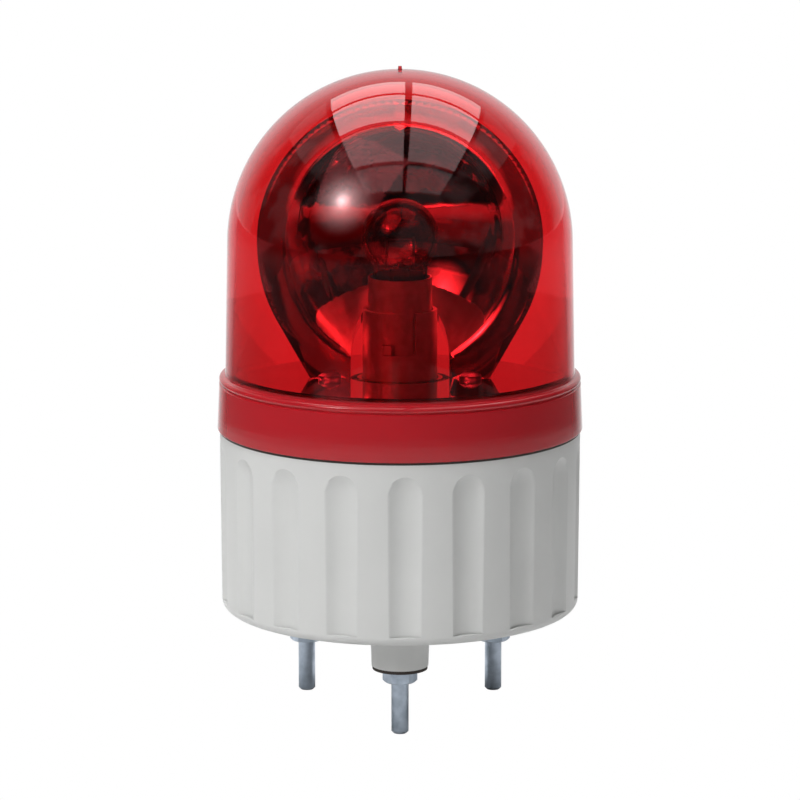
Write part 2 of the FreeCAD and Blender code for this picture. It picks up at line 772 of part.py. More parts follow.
def build_reflector():
    """The turntable floor and the dish, moulded in one."""
    body = new_body("reflector")
    turned(body, "floor", box_outline(
        "lamp_clearance_radius - 2", "hub_top", "table_radius", TABLE_TOP))
    at_dish = ("0", "lens_centre", "0")
    turned_dish(body, "bowl_back", "dish_front", "dish_wall", at_dish, cut=False)

    def draw_face(sketch):
        drop = f"({TABLE_TOP} - lens_centre)"
        far = f"sqrt(dish_foot_half_width^2 + {drop}^2)"
        touch = f"(asin(dish_radius / {far}) / 1 deg)"
        lean = f"(atan(dish_foot_half_width / -{drop}) / 1 deg)"
        side = f"(-90 + {lean} + 90 - {touch})"
        right_x, right_z = polar("dish_radius", side)
        floor_z = "(hub_top + table_thickness / 2)"
        add_outline(sketch, [
            ("-dish_foot_half_width", floor_z),
            ("dish_foot_half_width", floor_z),
            (right_x, f"lens_centre + {right_z}", "dish_radius", 1),
            ("0", "lens_centre + dish_radius", "dish_radius", 1),
            (f"-{right_x}", f"lens_centre + {right_z}"),
        ])

    raised(body, "dish_face", draw_face, "-(dish_front + dish_lip)", "dish_lip", "XZ_Plane")
    for name, side in (("left_rib", "-1"), ("right_rib", "1")):
        raised(body, name, lambda s: add_outline(s, [
            ("dish_front", "hub_top + table_thickness / 2"),
            ("rib_foot", "hub_top + table_thickness / 2"),
            ("rib_foot", f"{TABLE_TOP} + 1"),
            ("rib_foot / 2", f"{TABLE_TOP} + rib_height"),
            ("dish_front", f"{TABLE_TOP} + rib_height"),
        ]), f"{side} * rib_offset - rib_thickness / 2", "rib_thickness", "YZ_Plane")
    turned_dish(body, "bowl", "dish_front - 1", "0", at_dish, cut=True)
    turned(body, "face_step", [
        ("dish_front - 1", "mouth_radius - 1"),
        ("dish_front - 1", "dish_radius - dish_lip"),
        (RING_FACE, "dish_radius - dish_lip"),
        (RING_FACE, "mouth_radius - 1"),
    ], at_dish, "YZ_Plane", "H_Axis", cut=True)
    cut_out(body, "lamp_clearance", lambda s: add_circle(s, "0", "0", "lamp_clearance_radius"),
            "hub_top - 1", "holder_top + 2 - hub_top + 1")
    for name, side in (("left_hole", "-1"), ("right_hole", "1")):
        cut_out(body, name, lambda s: add_circle(
            s, f"{side} * table_screw_x", "table_screw_y", "screw_radius + running_gap"),
            "hub_top", "table_thickness")
    screws = new_body("reflector_screws")
    for name, side in (("left", "-1"), ("right", "1")):
        turned(screws, name, screw_corners(
            "screw_radius", "screw_head_radius", "screw_head_height", "wheel_bottom + 0.5", TABLE_TOP),
            (f"{side} * table_screw_x", "0", "-table_screw_y"))


def involute_gear(teeth, module, bottom, face, turn):
    """A solid spur gear on its own axis, with a tooth towards the angle turn, in degrees.

    Each flank is an arc through three points of the involute, thinned by half the backlash.
    """
    pitch = module * teeth / 2
    base = pitch * math.cos(math.radians(value_of("pressure_angle")))
    tip = pitch + module
    root = pitch - 1.25 * module
    start = max(base, root)

    def spread(radius):
        angle = math.acos(min(base / radius, 1))
        return math.tan(angle) - angle

    half_tooth = math.pi / teeth / 2 - value_of("tooth_backlash") / 2 / pitch
    edges = []
    pitch_angle = 2 * math.pi / teeth

    def place(radius, angle):
        return Vector(radius * math.cos(angle), radius * math.sin(angle), bottom)

    for index in range(teeth):
        centre = math.radians(turn) + index * pitch_angle
        flank = [(r, half_tooth + spread(pitch) - spread(r)) for r in (start, pitch, tip)]
        rising = [place(r, centre - a) for r, a in flank]
        falling = [place(r, centre + a) for r, a in reversed(flank)]
        root_half = flank[0][1]
        if root < start:
            edges.append(Part.LineSegment(place(root, centre - root_half), rising[0]).toShape())
        edges.append(Part.Arc(*rising).toShape())
        edges.append(Part.LineSegment(rising[2], falling[0]).toShape())
        edges.append(Part.Arc(*falling).toShape())
        if root < start:
            edges.append(Part.LineSegment(falling[2], place(root, centre + root_half)).toShape())
        edges.append(Part.LineSegment(
            place(root, centre + root_half), place(root, centre + pitch_angle - root_half)).toShape())
    outline = Part.Face(Part.Wire(edges))
    return outline.extrude(Vector(0, 0, face))


def drum(radius, bottom, top, x=0.0, y=0.0):
    """A plain cylinder between two levels."""
    return Part.makeCylinder(radius, top - bottom, Vector(x, y, bottom))


def computed(label, shape, x="0", y="0"):
    """A sub-part whose shape is computed, placed over (x, y)."""
    feature = doc.addObject("Part::Feature", label)
    feature.Label = label
    feature.Shape = shape
    feature.Placement = Placement(
        Vector(value_of(x), value_of(y), value_of("stud_reach")), Rotation())
    sub_parts.append(feature)
    return feature


def build_gears():
    """The turntable wheel, the compound idler on its pin, and the motor's pinion."""
    gap = value_of("running_gap")
    wheel_bottom = value_of("wheel_bottom")
    hub_top = value_of("hub_top")
    idler_angle = value_of("idler_phase")
    motor_angle = value_of(MOTOR_PHASE)
    wheel = involute_gear(int(value_of("wheel_teeth")), value_of("wheel_module"),
                          wheel_bottom, value_of("wheel_face"), idler_angle)
    hub_bottom = value_of(f"{PLATE_TOP} + thrust_washer_thickness")
    wheel = wheel.fuse(drum(value_of("hub_radius"), hub_bottom, wheel_bottom))
    wheel = wheel.fuse(drum(value_of("seat_radius"), wheel_bottom, hub_top))
    wheel = wheel.cut(drum(value_of("bush_radius") + gap, hub_bottom, hub_top))
    for side in (-1, 1):
        wheel = wheel.cut(drum(value_of("screw_radius") + gap, wheel_bottom, hub_top,
                               side * value_of("table_screw_x"), value_of("table_screw_y")))
    computed("turntable_gear", wheel.removeSplitter())

    small_teeth = int(value_of("idler_small_teeth"))
    large_teeth = int(value_of("idler_large_teeth"))
    pin = value_of("idler_pin_radius")
    large_bottom = value_of("idler_gear_bottom")
    large_top = large_bottom + value_of("idler_gear_face")
    idler_bottom = value_of("idler_bottom")
    idler_top = value_of("idler_top")
    # The motor's direction from the idler, where a large tooth points.
    towards_motor = math.degrees(math.radians(idler_angle + motor_angle) / 2) + 90
    idler = involute_gear(small_teeth, value_of("wheel_module"), large_top, idler_top - large_top,
                          idler_angle + 180 + 180 / small_teeth)
    idler = idler.fuse(involute_gear(large_teeth, value_of("motor_module"), large_bottom,
                                     large_top - large_bottom, towards_motor))
    idler = idler.fuse(drum(2 * pin, idler_bottom, large_bottom))
    idler = idler.cut(drum(pin + gap, idler_bottom, idler_top))
    computed("idler_gear", idler, *polar(CENTRE_DISTANCE, "idler_phase"))

    motor_teeth = int(value_of("motor_teeth"))
    pinion = involute_gear(motor_teeth, value_of("motor_module"), large_bottom,
                           large_top - large_bottom, towards_motor + 180 + 180 / motor_teeth)
    pinion = pinion.cut(drum(value_of("motor_shaft_radius"), large_bottom, large_top))
    computed("motor_pinion", pinion, *polar(CENTRE_DISTANCE, MOTOR_PHASE))


def build_motor():
    """The idler's pin with its clip, and the motor with its screws and shaft."""
    place = polar(CENTRE_DISTANCE, "idler_phase")
    pin = new_body("idler_pin", *place)
    groove = "(idler_top + running_gap)"
    turned(pin, "pin", [
        ("0", "chassis_level"),
        ("idler_pin_radius", "chassis_level"),
        ("idler_pin_radius", PLATE_TOP),
        ("2 * idler_pin_radius", PLATE_TOP),
        ("2 * idler_pin_radius", "idler_bottom - running_gap"),
        ("idler_pin_radius", "idler_bottom - running_gap"),
        ("idler_pin_radius", groove),
        ("idler_pin_radius - clip_groove", groove),
        ("idler_pin_radius - clip_groove", f"{groove} + idler_clip_thickness"),
        ("idler_pin_radius", f"{groove} + idler_clip_thickness"),
        ("idler_pin_radius", f"{groove} + 1.6 * idler_clip_thickness"),
        ("0", f"{groove} + 1.6 * idler_clip_thickness"),
    ])
    clip = new_body("idler_clip", *place)
    raised(clip, "clip", lambda s: add_outline(s, wide_sector(
        "(idler_pin_radius - clip_groove + running_gap / 2)", "(2 * idler_pin_radius)",
        "(180 - clip_mouth)")), f"{groove} + running_gap / 2", "idler_clip_thickness - running_gap")
    place = polar(CENTRE_DISTANCE, MOTOR_PHASE)
    can = new_body("motor_can", *place)
    shaft_bore = "(motor_shaft_radius + running_gap)"
    turned(can, "can", [
        ("0", "chassis_level - motor_length"),
        ("motor_radius - 1", "chassis_level - motor_length", "1", 1),
        ("motor_radius", "chassis_level - motor_length + 1"),
        ("motor_radius", "chassis_level"),
        ("motor_boss_radius", "chassis_level"),
        ("motor_boss_radius", "chassis_level + motor_boss_height"),
        (shaft_bore, "chassis_level + motor_boss_height"),
        (shaft_bore, "chassis_level - motor_length / 2"),
        ("0", "chassis_level - motor_length / 2"),
    ])
    screws = new_body("motor_screws")
    for name, side in (("first", -1), ("second", 1)):
        x, y = motor_screw_place(side)
        cut_out(can, name + "_hole", lambda s: add_circle(
            s, *polar(f"{side} * motor_screw_offset", MOTOR_SCREW_PHASE),
            "motor_screw_radius + running_gap"), "chassis_level - 4", "4")
        turned(screws, name, screw_corners(
            "motor_screw_radius", "motor_screw_head_radius", "motor_screw_head_height",
            "chassis_level - 3.5", PLATE_TOP), (x, "0", f"-({y})"))
    shaft = new_body("motor_shaft", *place)
    turned(shaft, "shaft", box_outline(
        "0", "chassis_level - motor_length / 2 + running_gap", "motor_shaft_radius",
        "motor_shaft_top"))


# ---------------------------------------------------------------- lamp

def build_holder():
    """The lamp holder: a bayonet shell on an insulator, with a sprung contact."""
    shell = new_body("lamp_holder")
    inner = "(holder_radius - holder_wall)"
    turned(shell, "shell", box_outline(inner, PLATE_TOP, "holder_radius", "holder_top"))
    middle = "(slot_phase - slot_turn / 2)"
    half = "(asin(slot_half_width / holder_radius) / 1 deg)"
    level = "pin_level - slot_half_width"
    rim = ("(holder_radius - holder_wall - 1)", "(holder_radius + 1)")
    entry = cut_out(shell, "slot_entry", lambda s: add_outline(s, sector(
        *rim, "slot_phase", half)), level, f"holder_top - ({level}) + 1")
    run = cut_out(shell, "slot_run", lambda s: add_outline(s, sector(
        *rim, middle, f"(slot_turn / 2 + {half})")), level, "2 * slot_half_width")
    ring_pattern(shell, "slots", [entry, run], "2")
    block = new_body("lamp_insulator")
    turned(block, "block", [
        ("0", "chassis_level - 1"),
        ("lead_hole_radius - running_gap", "chassis_level - 1"),
        ("lead_hole_radius - running_gap", PLATE_TOP),
        (f"{inner} - running_gap", PLATE_TOP),
        (f"{inner} - running_gap", "insulator_top"),
        ("well_radius", "insulator_top"),
        ("well_radius", "well_floor"),
        ("0", "well_floor"),
    ])
    plunger = new_body("lamp_plunger")
    turned(plunger, "plunger", [
        ("0", "plunger_top - plunger_length"),
        ("plunger_radius", "plunger_top - plunger_length"),
        ("plunger_radius", "plunger_top - 1", "1", 1),
        ("plunger_radius - 1", "plunger_top"),
        ("0", "plunger_top"),
    ])
    spring = new_body("plunger_spring")
    sketch = new_sketch(spring, "wire", "XZ_Plane")
    add_outline(sketch, box_outline(
        "coil_radius - coil_wire_radius", "well_floor + running_gap",
        "coil_radius + coil_wire_radius", "well_floor + running_gap + 2 * coil_wire_radius"))
    coil = spring.newObject("PartDesign::AdditiveHelix", "coil")
    coil.Profile = sketch
    coil.ReferenceAxis = (sketch, ["V_Axis"])
    coil.Mode = "height-turns-growth"
    bind(coil, "Height",
         "plunger_top - plunger_length - well_floor - 2 * coil_wire_radius - 2 * running_gap")
    bind(coil, "Turns", "coil_turns")


def build_lamp():
    """The lamp: a bayonet cap with its contact, the glass, the stem and the filament."""
    cap = new_body("lamp_cap")
    inner = "(cap_radius - cap_wall)"
    turned(cap, "cap", [
        ("contact_radius + running_gap", "cap_bottom"),
        ("cap_radius", "cap_bottom"),
        ("cap_radius", "cap_top"),
        (inner, "cap_top"),
        (inner, "cap_bottom + 2 * cap_wall"),
        ("contact_radius + running_gap", "cap_bottom + 2 * cap_wall"),
    ])
    pin_turn = "(slot_phase - slot_turn)"
    root = f"({inner} + cap_wall / 2)"
    reach = "(holder_radius + 0.4)"
    # Each pin is padded up from a small round sketched on the level, so it stays radial.
    pin = raised(cap, "pin", lambda s: add_outline(s, [
        (f"{root} * cos({pin_turn} * 1 deg) - pin_radius * sin({pin_turn} * 1 deg)",
         f"{root} * sin({pin_turn} * 1 deg) + pin_radius * cos({pin_turn} * 1 deg)"),
        (f"{root} * cos({pin_turn} * 1 deg) + pin_radius * sin({pin_turn} * 1 deg)",
         f"{root} * sin({pin_turn} * 1 deg) - pin_radius * cos({pin_turn} * 1 deg)"),
        (f"{reach} * cos({pin_turn} * 1 deg) + pin_radius * sin({pin_turn} * 1 deg)",
         f"{reach} * sin({pin_turn} * 1 deg) - pin_radius * cos({pin_turn} * 1 deg)"),
        (f"{reach} * cos({pin_turn} * 1 deg) - pin_radius * sin({pin_turn} * 1 deg)",
         f"{reach} * sin({pin_turn} * 1 deg) + pin_radius * cos({pin_turn} * 1 deg)"),
    ]), "pin_level - pin_radius", "2 * pin_radius")
    ring_pattern(cap, "pins", [pin], "2")
    contact = new_body("lamp_contact")
    turned(contact, "contact", [
        ("0", "plunger_top"),
        ("contact_radius - 1", "plunger_top"),
        ("contact_radius", "plunger_top + 1"),
        ("contact_radius", "cap_bottom + 2 * cap_wall"),
        ("0", "cap_bottom + 2 * cap_wall"),
    ])
    glass = new_body("lamp_glass")
    wall = "glass_wall"
    neck_level = "(globe_centre - sqrt(globe_radius^2 - glass_neck_radius^2))"
    neck_inner = f"(glass_neck_radius - {wall})"
    globe_inner = f"(globe_radius - {wall})"
    inner_level = f"(globe_centre - sqrt({globe_inner}^2 - {neck_inner}^2))"
    turned(glass, "globe", [
        ("stem_radius + running_gap", "glass_foot"),
        ("glass_neck_radius", "glass_foot"),
        ("glass_neck_radius", neck_level, "globe_radius", 1),
        ("globe_radius", "globe_centre", "globe_radius", 1),
        ("0", "globe_centre + globe_radius"),
        ("0", f"globe_centre + {globe_inner}", globe_inner, -1),
        (globe_inner, "globe_centre", globe_inner, -1),
        (neck_inner, inner_level),
        (neck_inner, f"glass_foot + {wall}"),
        ("stem_radius + running_gap", f"glass_foot + {wall}"),
    ])
    stem = new_body("lamp_stem")
    turned(stem, "stem", [
        ("0", "glass_foot"),
        ("stem_radius", "glass_foot"),
        ("stem_radius", "stem_top - 2"),
        ("stem_radius * 0.6", "stem_top"),
        ("0", "stem_top"),
    ])
    filament = new_body("lamp_filament")
    for name, side in (("left_wire", "-1"), ("right_wire", "1")):
        raised(filament, name, lambda s: add_circle(
            s, f"{side} * filament_half_span", "0", "filament_wire_radius"),
            "stem_top - 1", "globe_centre - stem_top + 1")
    raised(filament, "filament", lambda s: add_circle(
        s, "0", "globe_centre - 2 * filament_wire_radius", "filament_wire_radius * 0.7"),
        "-filament_half_span", "2 * filament_half_span", "YZ_Plane")


build_housing()
build_mounting()
build_grommet()
build_lens()
build_chassis()
build_board()
build_terminals()
build_reflector()
build_gears()
build_motor()
build_holder()
build_lamp()
doc.recompute()

for item in doc.Objects:
    if "Invalid" in item.State or "Error" in item.State:
        raise RuntimeError(f"{item.Label} failed: {item.State}")
os.makedirs("parts", exist_ok=True)
for item in sub_parts:
    shape = item.Shape
    if shape.isNull() or not shape.isValid():
        raise RuntimeError(f"{item.Label} has no valid shape")
    print(f"{item.Label}: {len(shape.Solids)} solids, {shape.Volume:.1f} mm3")
    shape.exportStep(f"parts/{item.Label}.step")
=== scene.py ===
"""Dress the rotating beacon: a red lens over a turning mirror, on a fluted grey housing.

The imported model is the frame. Every length is in metres, and every place comes from the frame's
nodes or from the dataclass fields of the sub-assembly that a piece belongs to.
"""
import json
import logging
import math
from collections.abc import Iterable
from dataclasses import dataclass, field
from enum import Enum

import bmesh
import bpy
from mathutils import Matrix, Vector

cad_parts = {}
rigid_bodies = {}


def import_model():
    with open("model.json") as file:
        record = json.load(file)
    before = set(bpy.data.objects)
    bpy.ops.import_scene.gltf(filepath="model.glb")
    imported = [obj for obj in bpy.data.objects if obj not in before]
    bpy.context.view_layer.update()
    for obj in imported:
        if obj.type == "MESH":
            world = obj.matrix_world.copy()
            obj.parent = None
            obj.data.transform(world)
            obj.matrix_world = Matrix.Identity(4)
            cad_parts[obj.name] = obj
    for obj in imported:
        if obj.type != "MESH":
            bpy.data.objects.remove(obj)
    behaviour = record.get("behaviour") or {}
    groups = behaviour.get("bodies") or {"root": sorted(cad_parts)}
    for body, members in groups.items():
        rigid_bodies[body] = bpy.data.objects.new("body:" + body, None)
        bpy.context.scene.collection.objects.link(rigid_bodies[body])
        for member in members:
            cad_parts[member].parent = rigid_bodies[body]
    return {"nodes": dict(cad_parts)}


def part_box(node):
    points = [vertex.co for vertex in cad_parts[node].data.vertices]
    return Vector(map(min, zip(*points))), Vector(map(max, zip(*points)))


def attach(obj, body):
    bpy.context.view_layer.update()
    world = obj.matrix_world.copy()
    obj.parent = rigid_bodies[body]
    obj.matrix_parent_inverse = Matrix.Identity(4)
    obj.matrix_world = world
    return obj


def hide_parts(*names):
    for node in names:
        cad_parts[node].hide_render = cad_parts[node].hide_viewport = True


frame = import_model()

LOG = logging.getLogger("beacon")
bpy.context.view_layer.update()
MM = 0.001
PREFIX = "finish_"  # keeps these materials apart from the frame's own
FULL_TURN = 360.0  # degrees
UP = (0.0, 0.0, 1.0)
ORIGIN = (0.0, 0.0, 0.0)
WELD = 2e-6  # corners of a copied node that are nearer than this, in metres, are one
SAME_POINT = 1e-6  # the same for a turned outline
SLIVER = 1e-7  # edges shorter than this, in metres, are dissolved
SENSOR = 36.0  # the width of the camera's sensor in millimetres
BOSSES = 8.2 * MM  # how far the stud bosses stand below the rim plane

Tint = bpy.types.NodeSocket | tuple[float, float, float, float]


class Body(str, Enum):
    """The rigid bodies that a piece can ride on."""

    HOUSING = "housing"
    TURNTABLE = "turntable"
    IDLER = "idler"
    MOTOR_ROTOR = "motor_rotor"
    LENS = "lens"
    LAMP = "lamp"
    PLUNGER = "plunger"


# ---------------------------------------------------------------- finishes


class Wiring:
    """Short ways to add and link the nodes of a material, a world or a lamp."""

    def __init__(self, tree: bpy.types.NodeTree) -> None:
        """Take a node tree."""
        self.tree = tree

    def add(self, kind: str, **values: object) -> bpy.types.Node:
        """Add one node and set it up.

        Args:
            kind: The node's type, without its ShaderNode prefix.
            **values: Socket values by name with underscores for spaces, or node properties.

        Returns:
            The new node.
        """
        node = self.tree.nodes.new("ShaderNode" + kind)
        for name, value in values.items():
            socket = node.inputs.get(name.replace("_", " "))
            if socket is None:
                setattr(node, name, value)
            else:
                socket.default_value = value
        return node

    def link(self, source: bpy.types.NodeSocket, target: bpy.types.NodeSocket) -> None:
        """Link one socket to another."""
        self.tree.links.new(source, target)

    def maths(self, operation: str, first: bpy.types.NodeSocket,
              second: bpy.types.NodeSocket | float) -> bpy.types.NodeSocket:
        """Join two factors, or a factor and a number, by a Math node's operation."""
        node = self.add("Math", operation=operation)
        self.link(first, node.inputs[0])
        if isinstance(second, float):
            node.inputs[1].default_value = second
        else:
            self.link(second, node.inputs[1])
        return node.outputs["Value"]

    def past(self, value: bpy.types.NodeSocket, near: float, far: float) -> bpy.types.NodeSocket:
        """Rise from 0 where the value is near to 1 where it is far."""
        rise = self.add("MapRange", From_Min=near, From_Max=far)
        self.link(value, rise.inputs["Value"])
        return rise.outputs["Result"]

    def seen(self, through: bpy.types.NodeSocket,
             mirrored: bpy.types.NodeSocket) -> bpy.types.NodeSocket:
        """Tell the rays that see the white behind the beacon.

        Args:
            through: The share of white that rays through the lens see here.
            mirrored: The share that mirrored rays see here.

        Returns:
            A factor, 1 for the camera's rays.
        """
        path = self.add("LightPath")
        first = self.maths("MULTIPLY", path.outputs["Is Transmission Ray"], through)
        second = self.maths("MULTIPLY", path.outputs["Is Glossy Ray"], mirrored)
        return self.maths("MAXIMUM", path.outputs["Is Camera Ray"],
                          self.maths("MAXIMUM", first, second))


class Nodes(Wiring):
    """A new material's node tree."""

    def __init__(self, name: str) -> None:
        """Make a material called name, with an empty tree and its output."""
        self.material = bpy.data.materials.new(PREFIX + name)
        self.material.use_nodes = True
        super().__init__(self.material.node_tree)
        self.tree.nodes.clear()
        self.output = self.add("OutputMaterial")

    def place(self) -> bpy.types.NodeSocket:
        """The Object coordinates of the shaded point, in metres."""
        return self.add("TexCoord").outputs["Object"]

    def noise(self, scale: float, detail: float = 3.0,
              stretch: tuple[float, float, float] = (1.0, 1.0, 1.0)) -> bpy.types.NodeSocket:
        """Add noise on Object coordinates.

        Args:
            scale: Grains per metre.
            detail: The noise's octaves.
            stretch: How much finer the grain is along each axis.

        Returns:
            The noise's factor.
        """
        mapping = self.add("Mapping")
        mapping.inputs["Scale"].default_value = stretch
        self.link(self.place(), mapping.inputs["Vector"])
        texture = self.add("TexNoise", Scale=scale, Detail=detail)
        self.link(mapping.outputs["Vector"], texture.inputs["Vector"])
        return texture.outputs["Fac"]

    def ramp(self, factor: bpy.types.NodeSocket, low: tuple[float, ...],
             high: tuple[float, ...], start: float = 0.35,
             end: float = 0.65) -> bpy.types.NodeSocket:
        """Spread a factor between two colours.

        Args:
            factor: The factor to spread.
            low: The colour at start and below, red, green and blue.
            high: The colour at end and above.
            start: The factor where low ends.
            end: The factor where high begins.

        Returns:
            The colour.
        """
        node = self.add("ValToRGB")
        stops = node.color_ramp.elements
        stops[0].position, stops[0].color = start, (*low, 1.0)
        stops[1].position, stops[1].color = end, (*high, 1.0)
        self.link(factor, node.inputs["Fac"])
        return node.outputs["Color"]

    def level(self, factor: bpy.types.NodeSocket, low: float, high: float) -> bpy.types.NodeSocket:
        """Spread a factor from 0 and 1 to low and high."""
        node = self.add("MapRange", To_Min=low, To_Max=high)
        self.link(factor, node.inputs["Value"])
        return node.outputs["Result"]

    def bump(self, height: bpy.types.NodeSocket, strength: float, distance: float,
             under: bpy.types.NodeSocket | None = None) -> bpy.types.NodeSocket:
        """Turn a height into a normal.

        Args:
            height: The height, from 0 to 1.
            strength: How strong the bump is.
            distance: The full height in metres.
            under: The normal that it lies on, or None for the surface's own.

        Returns:
            The normal.
        """
        node = self.add("Bump", Strength=strength, Distance=distance)
        self.link(height, node.inputs["Height"])
        if under is not None:
            self.link(under, node.inputs["Normal"])
        return node.outputs["Normal"]

    def blend(self, factor: bpy.types.NodeSocket, low: Tint, high: Tint) -> bpy.types.NodeSocket:
        """Mix two colours, each given as a socket or as red, green, blue and alpha.

        Args:
            factor: The share of high.
            low: The colour where the factor is 0.
            high: The colour where it is 1.

        Returns:
            The mixed colour.
        """
        mix = self.add("MixRGB")
        self.link(factor, mix.inputs["Fac"])
        for tint, target in ((low, mix.inputs["Color1"]), (high, mix.inputs["Color2"])):
            if isinstance(tint, tuple):
                target.default_value = tint
            else:
                self.link(tint, target)
        return mix.outputs["Color"]

    def surface(self, **values: object) -> bpy.types.Node:
        """Add a Principled shader with these socket values and put it on the output."""
        shader = self.add("BsdfPrincipled", **values)
        self.link(shader.outputs["BSDF"], self.output.inputs["Surface"])
        return shader


@dataclass(frozen=True)
class Moulded:
    """A moulded plastic or rubber: a fine spark-eroded grain and a slightly uneven tint.

    Attributes:
        name: The material's name.
        colour: The tint, linear red, green and blue.
        shade: How much darker the darkest patches are, as a share.
        roughness: The mean roughness.
        grain: The grain's height in metres.
        grain_size: Grains per metre.
        patches: Darker patches per metre.
        wear: Duller patches per metre.
        unevenness: How far the roughness strays from its mean, as a share.
        strength: How strongly the grain shows.
    """

    name: str
    colour: tuple[float, float, float]
    shade: float = 0.04
    roughness: float = 0.42
    grain: float = 4e-6
    grain_size: float = 4000.0
    patches: float = 45.0
    wear: float = 180.0
    unevenness: float = 0.12
    strength: float = 0.6

    def material(self) -> bpy.types.Material:
        """Build the material."""
        nodes = Nodes(self.name)
        shader = nodes.surface(IOR=1.5)
        dark = tuple(c * (1 - self.shade) for c in self.colour)
        tint = nodes.ramp(nodes.noise(self.patches), dark, self.colour)
        nodes.link(tint, shader.inputs["Base Color"])
        fine = nodes.noise(self.grain_size, 2.0)
        spread = self.roughness * self.unevenness
        rough = nodes.level(nodes.noise(self.wear), self.roughness - spread,
                            self.roughness + spread)
        nodes.link(rough, shader.inputs["Roughness"])
        nodes.link(nodes.bump(fine, self.strength, self.grain), shader.inputs["Normal"])
        return nodes.material


@dataclass(frozen=True)
class Metal:
    """A plain or plated metal, with drawing or turning marks.

    Attributes:
        name: The material's name.
        colour: The metal's colour, linear red, green and blue.
        tarnish: The colour of its duller patches.
        roughness: The mean roughness.
        marks: The height of its marks in metres.
        stretch: How fine the marks are along each axis.
        mark_size: Marks per metre.
        patches: Duller patches per metre.
        dullest: The roughness of the dullest patches, as a share of the mean.
        brightest: The roughness of the brightest patches, as a share of the mean.
        strength: How strongly the marks show.
    """

    name: str
    colour: tuple[float, float, float]
    tarnish: tuple[float, float, float]
    roughness: float = 0.3
    marks: float = 3e-6
    stretch: tuple[float, float, float] = (1.0, 1.0, 0.15)
    mark_size: float = 2500.0
    patches: float = 400.0
    dullest: float = 1.25
    brightest: float = 0.8
    strength: float = 0.5

    def material(self) -> bpy.types.Material:
        """Build the material."""
        nodes = Nodes(self.name)
        shader = nodes.surface(Metallic=1.0)
        patches = nodes.noise(self.patches, 4.0)
        nodes.link(nodes.ramp(patches, self.tarnish, self.colour), shader.inputs["Base Color"])
        rough = nodes.level(patches, self.roughness * self.dullest,
                            self.roughness * self.brightest)
        nodes.link(rough, shader.inputs["Roughness"])
        height = nodes.noise(self.mark_size, 2.0, self.stretch)
        nodes.link(nodes.bump(height, self.strength, self.marks), shader.inputs["Normal"])
        return nodes.material


@dataclass(frozen=True)
class MirrorPlating:
    """Vacuum plating over moulded plastic: mirror-bright, with the moulding's faint waves.

    Attributes:
        name: The material's name.
        colour: The plating's colour.
        roughness: The mean roughness.
        wave: The height of the waves in metres.
        wave_size: Waves per metre.
        strength: How strongly the waves show.
        patches: Duller patches per metre.
        shade: How much darker those patches are, as a share.
        wear: Rougher patches per metre.
        smoothest: The lowest roughness, as a share of the mean.
        roughest: The highest roughness, as a share of the mean.
    """

    name: str = "mirror_plating"
    colour: tuple[float, float, float] = (0.86, 0.86, 0.88)
    roughness: float = 0.035
    wave: float = 6e-5
    wave_size: float = 90.0
    strength: float = 0.35
    patches: float = 160.0
    shade: float = 0.06
    wear: float = 700.0
    smoothest: float = 0.6
    roughest: float = 1.6

    def material(self) -> bpy.types.Material:
        """Build the material."""
        nodes = Nodes(self.name)
        shader = nodes.surface(Metallic=1.0)
        dull = tuple(c * (1 - self.shade) for c in self.colour)
        tint = nodes.ramp(nodes.noise(self.patches), dull, self.colour)
        nodes.link(tint, shader.inputs["Base Color"])
        rough = nodes.level(nodes.noise(self.wear), self.roughness * self.smoothest,
                            self.roughness * self.roughest)
        nodes.link(rough, shader.inputs["Roughness"])
        waves = nodes.bump(nodes.noise(self.wave_size, 1.0), self.strength, self.wave)
        nodes.link(waves, shader.inputs["Normal"])
        return nodes.material


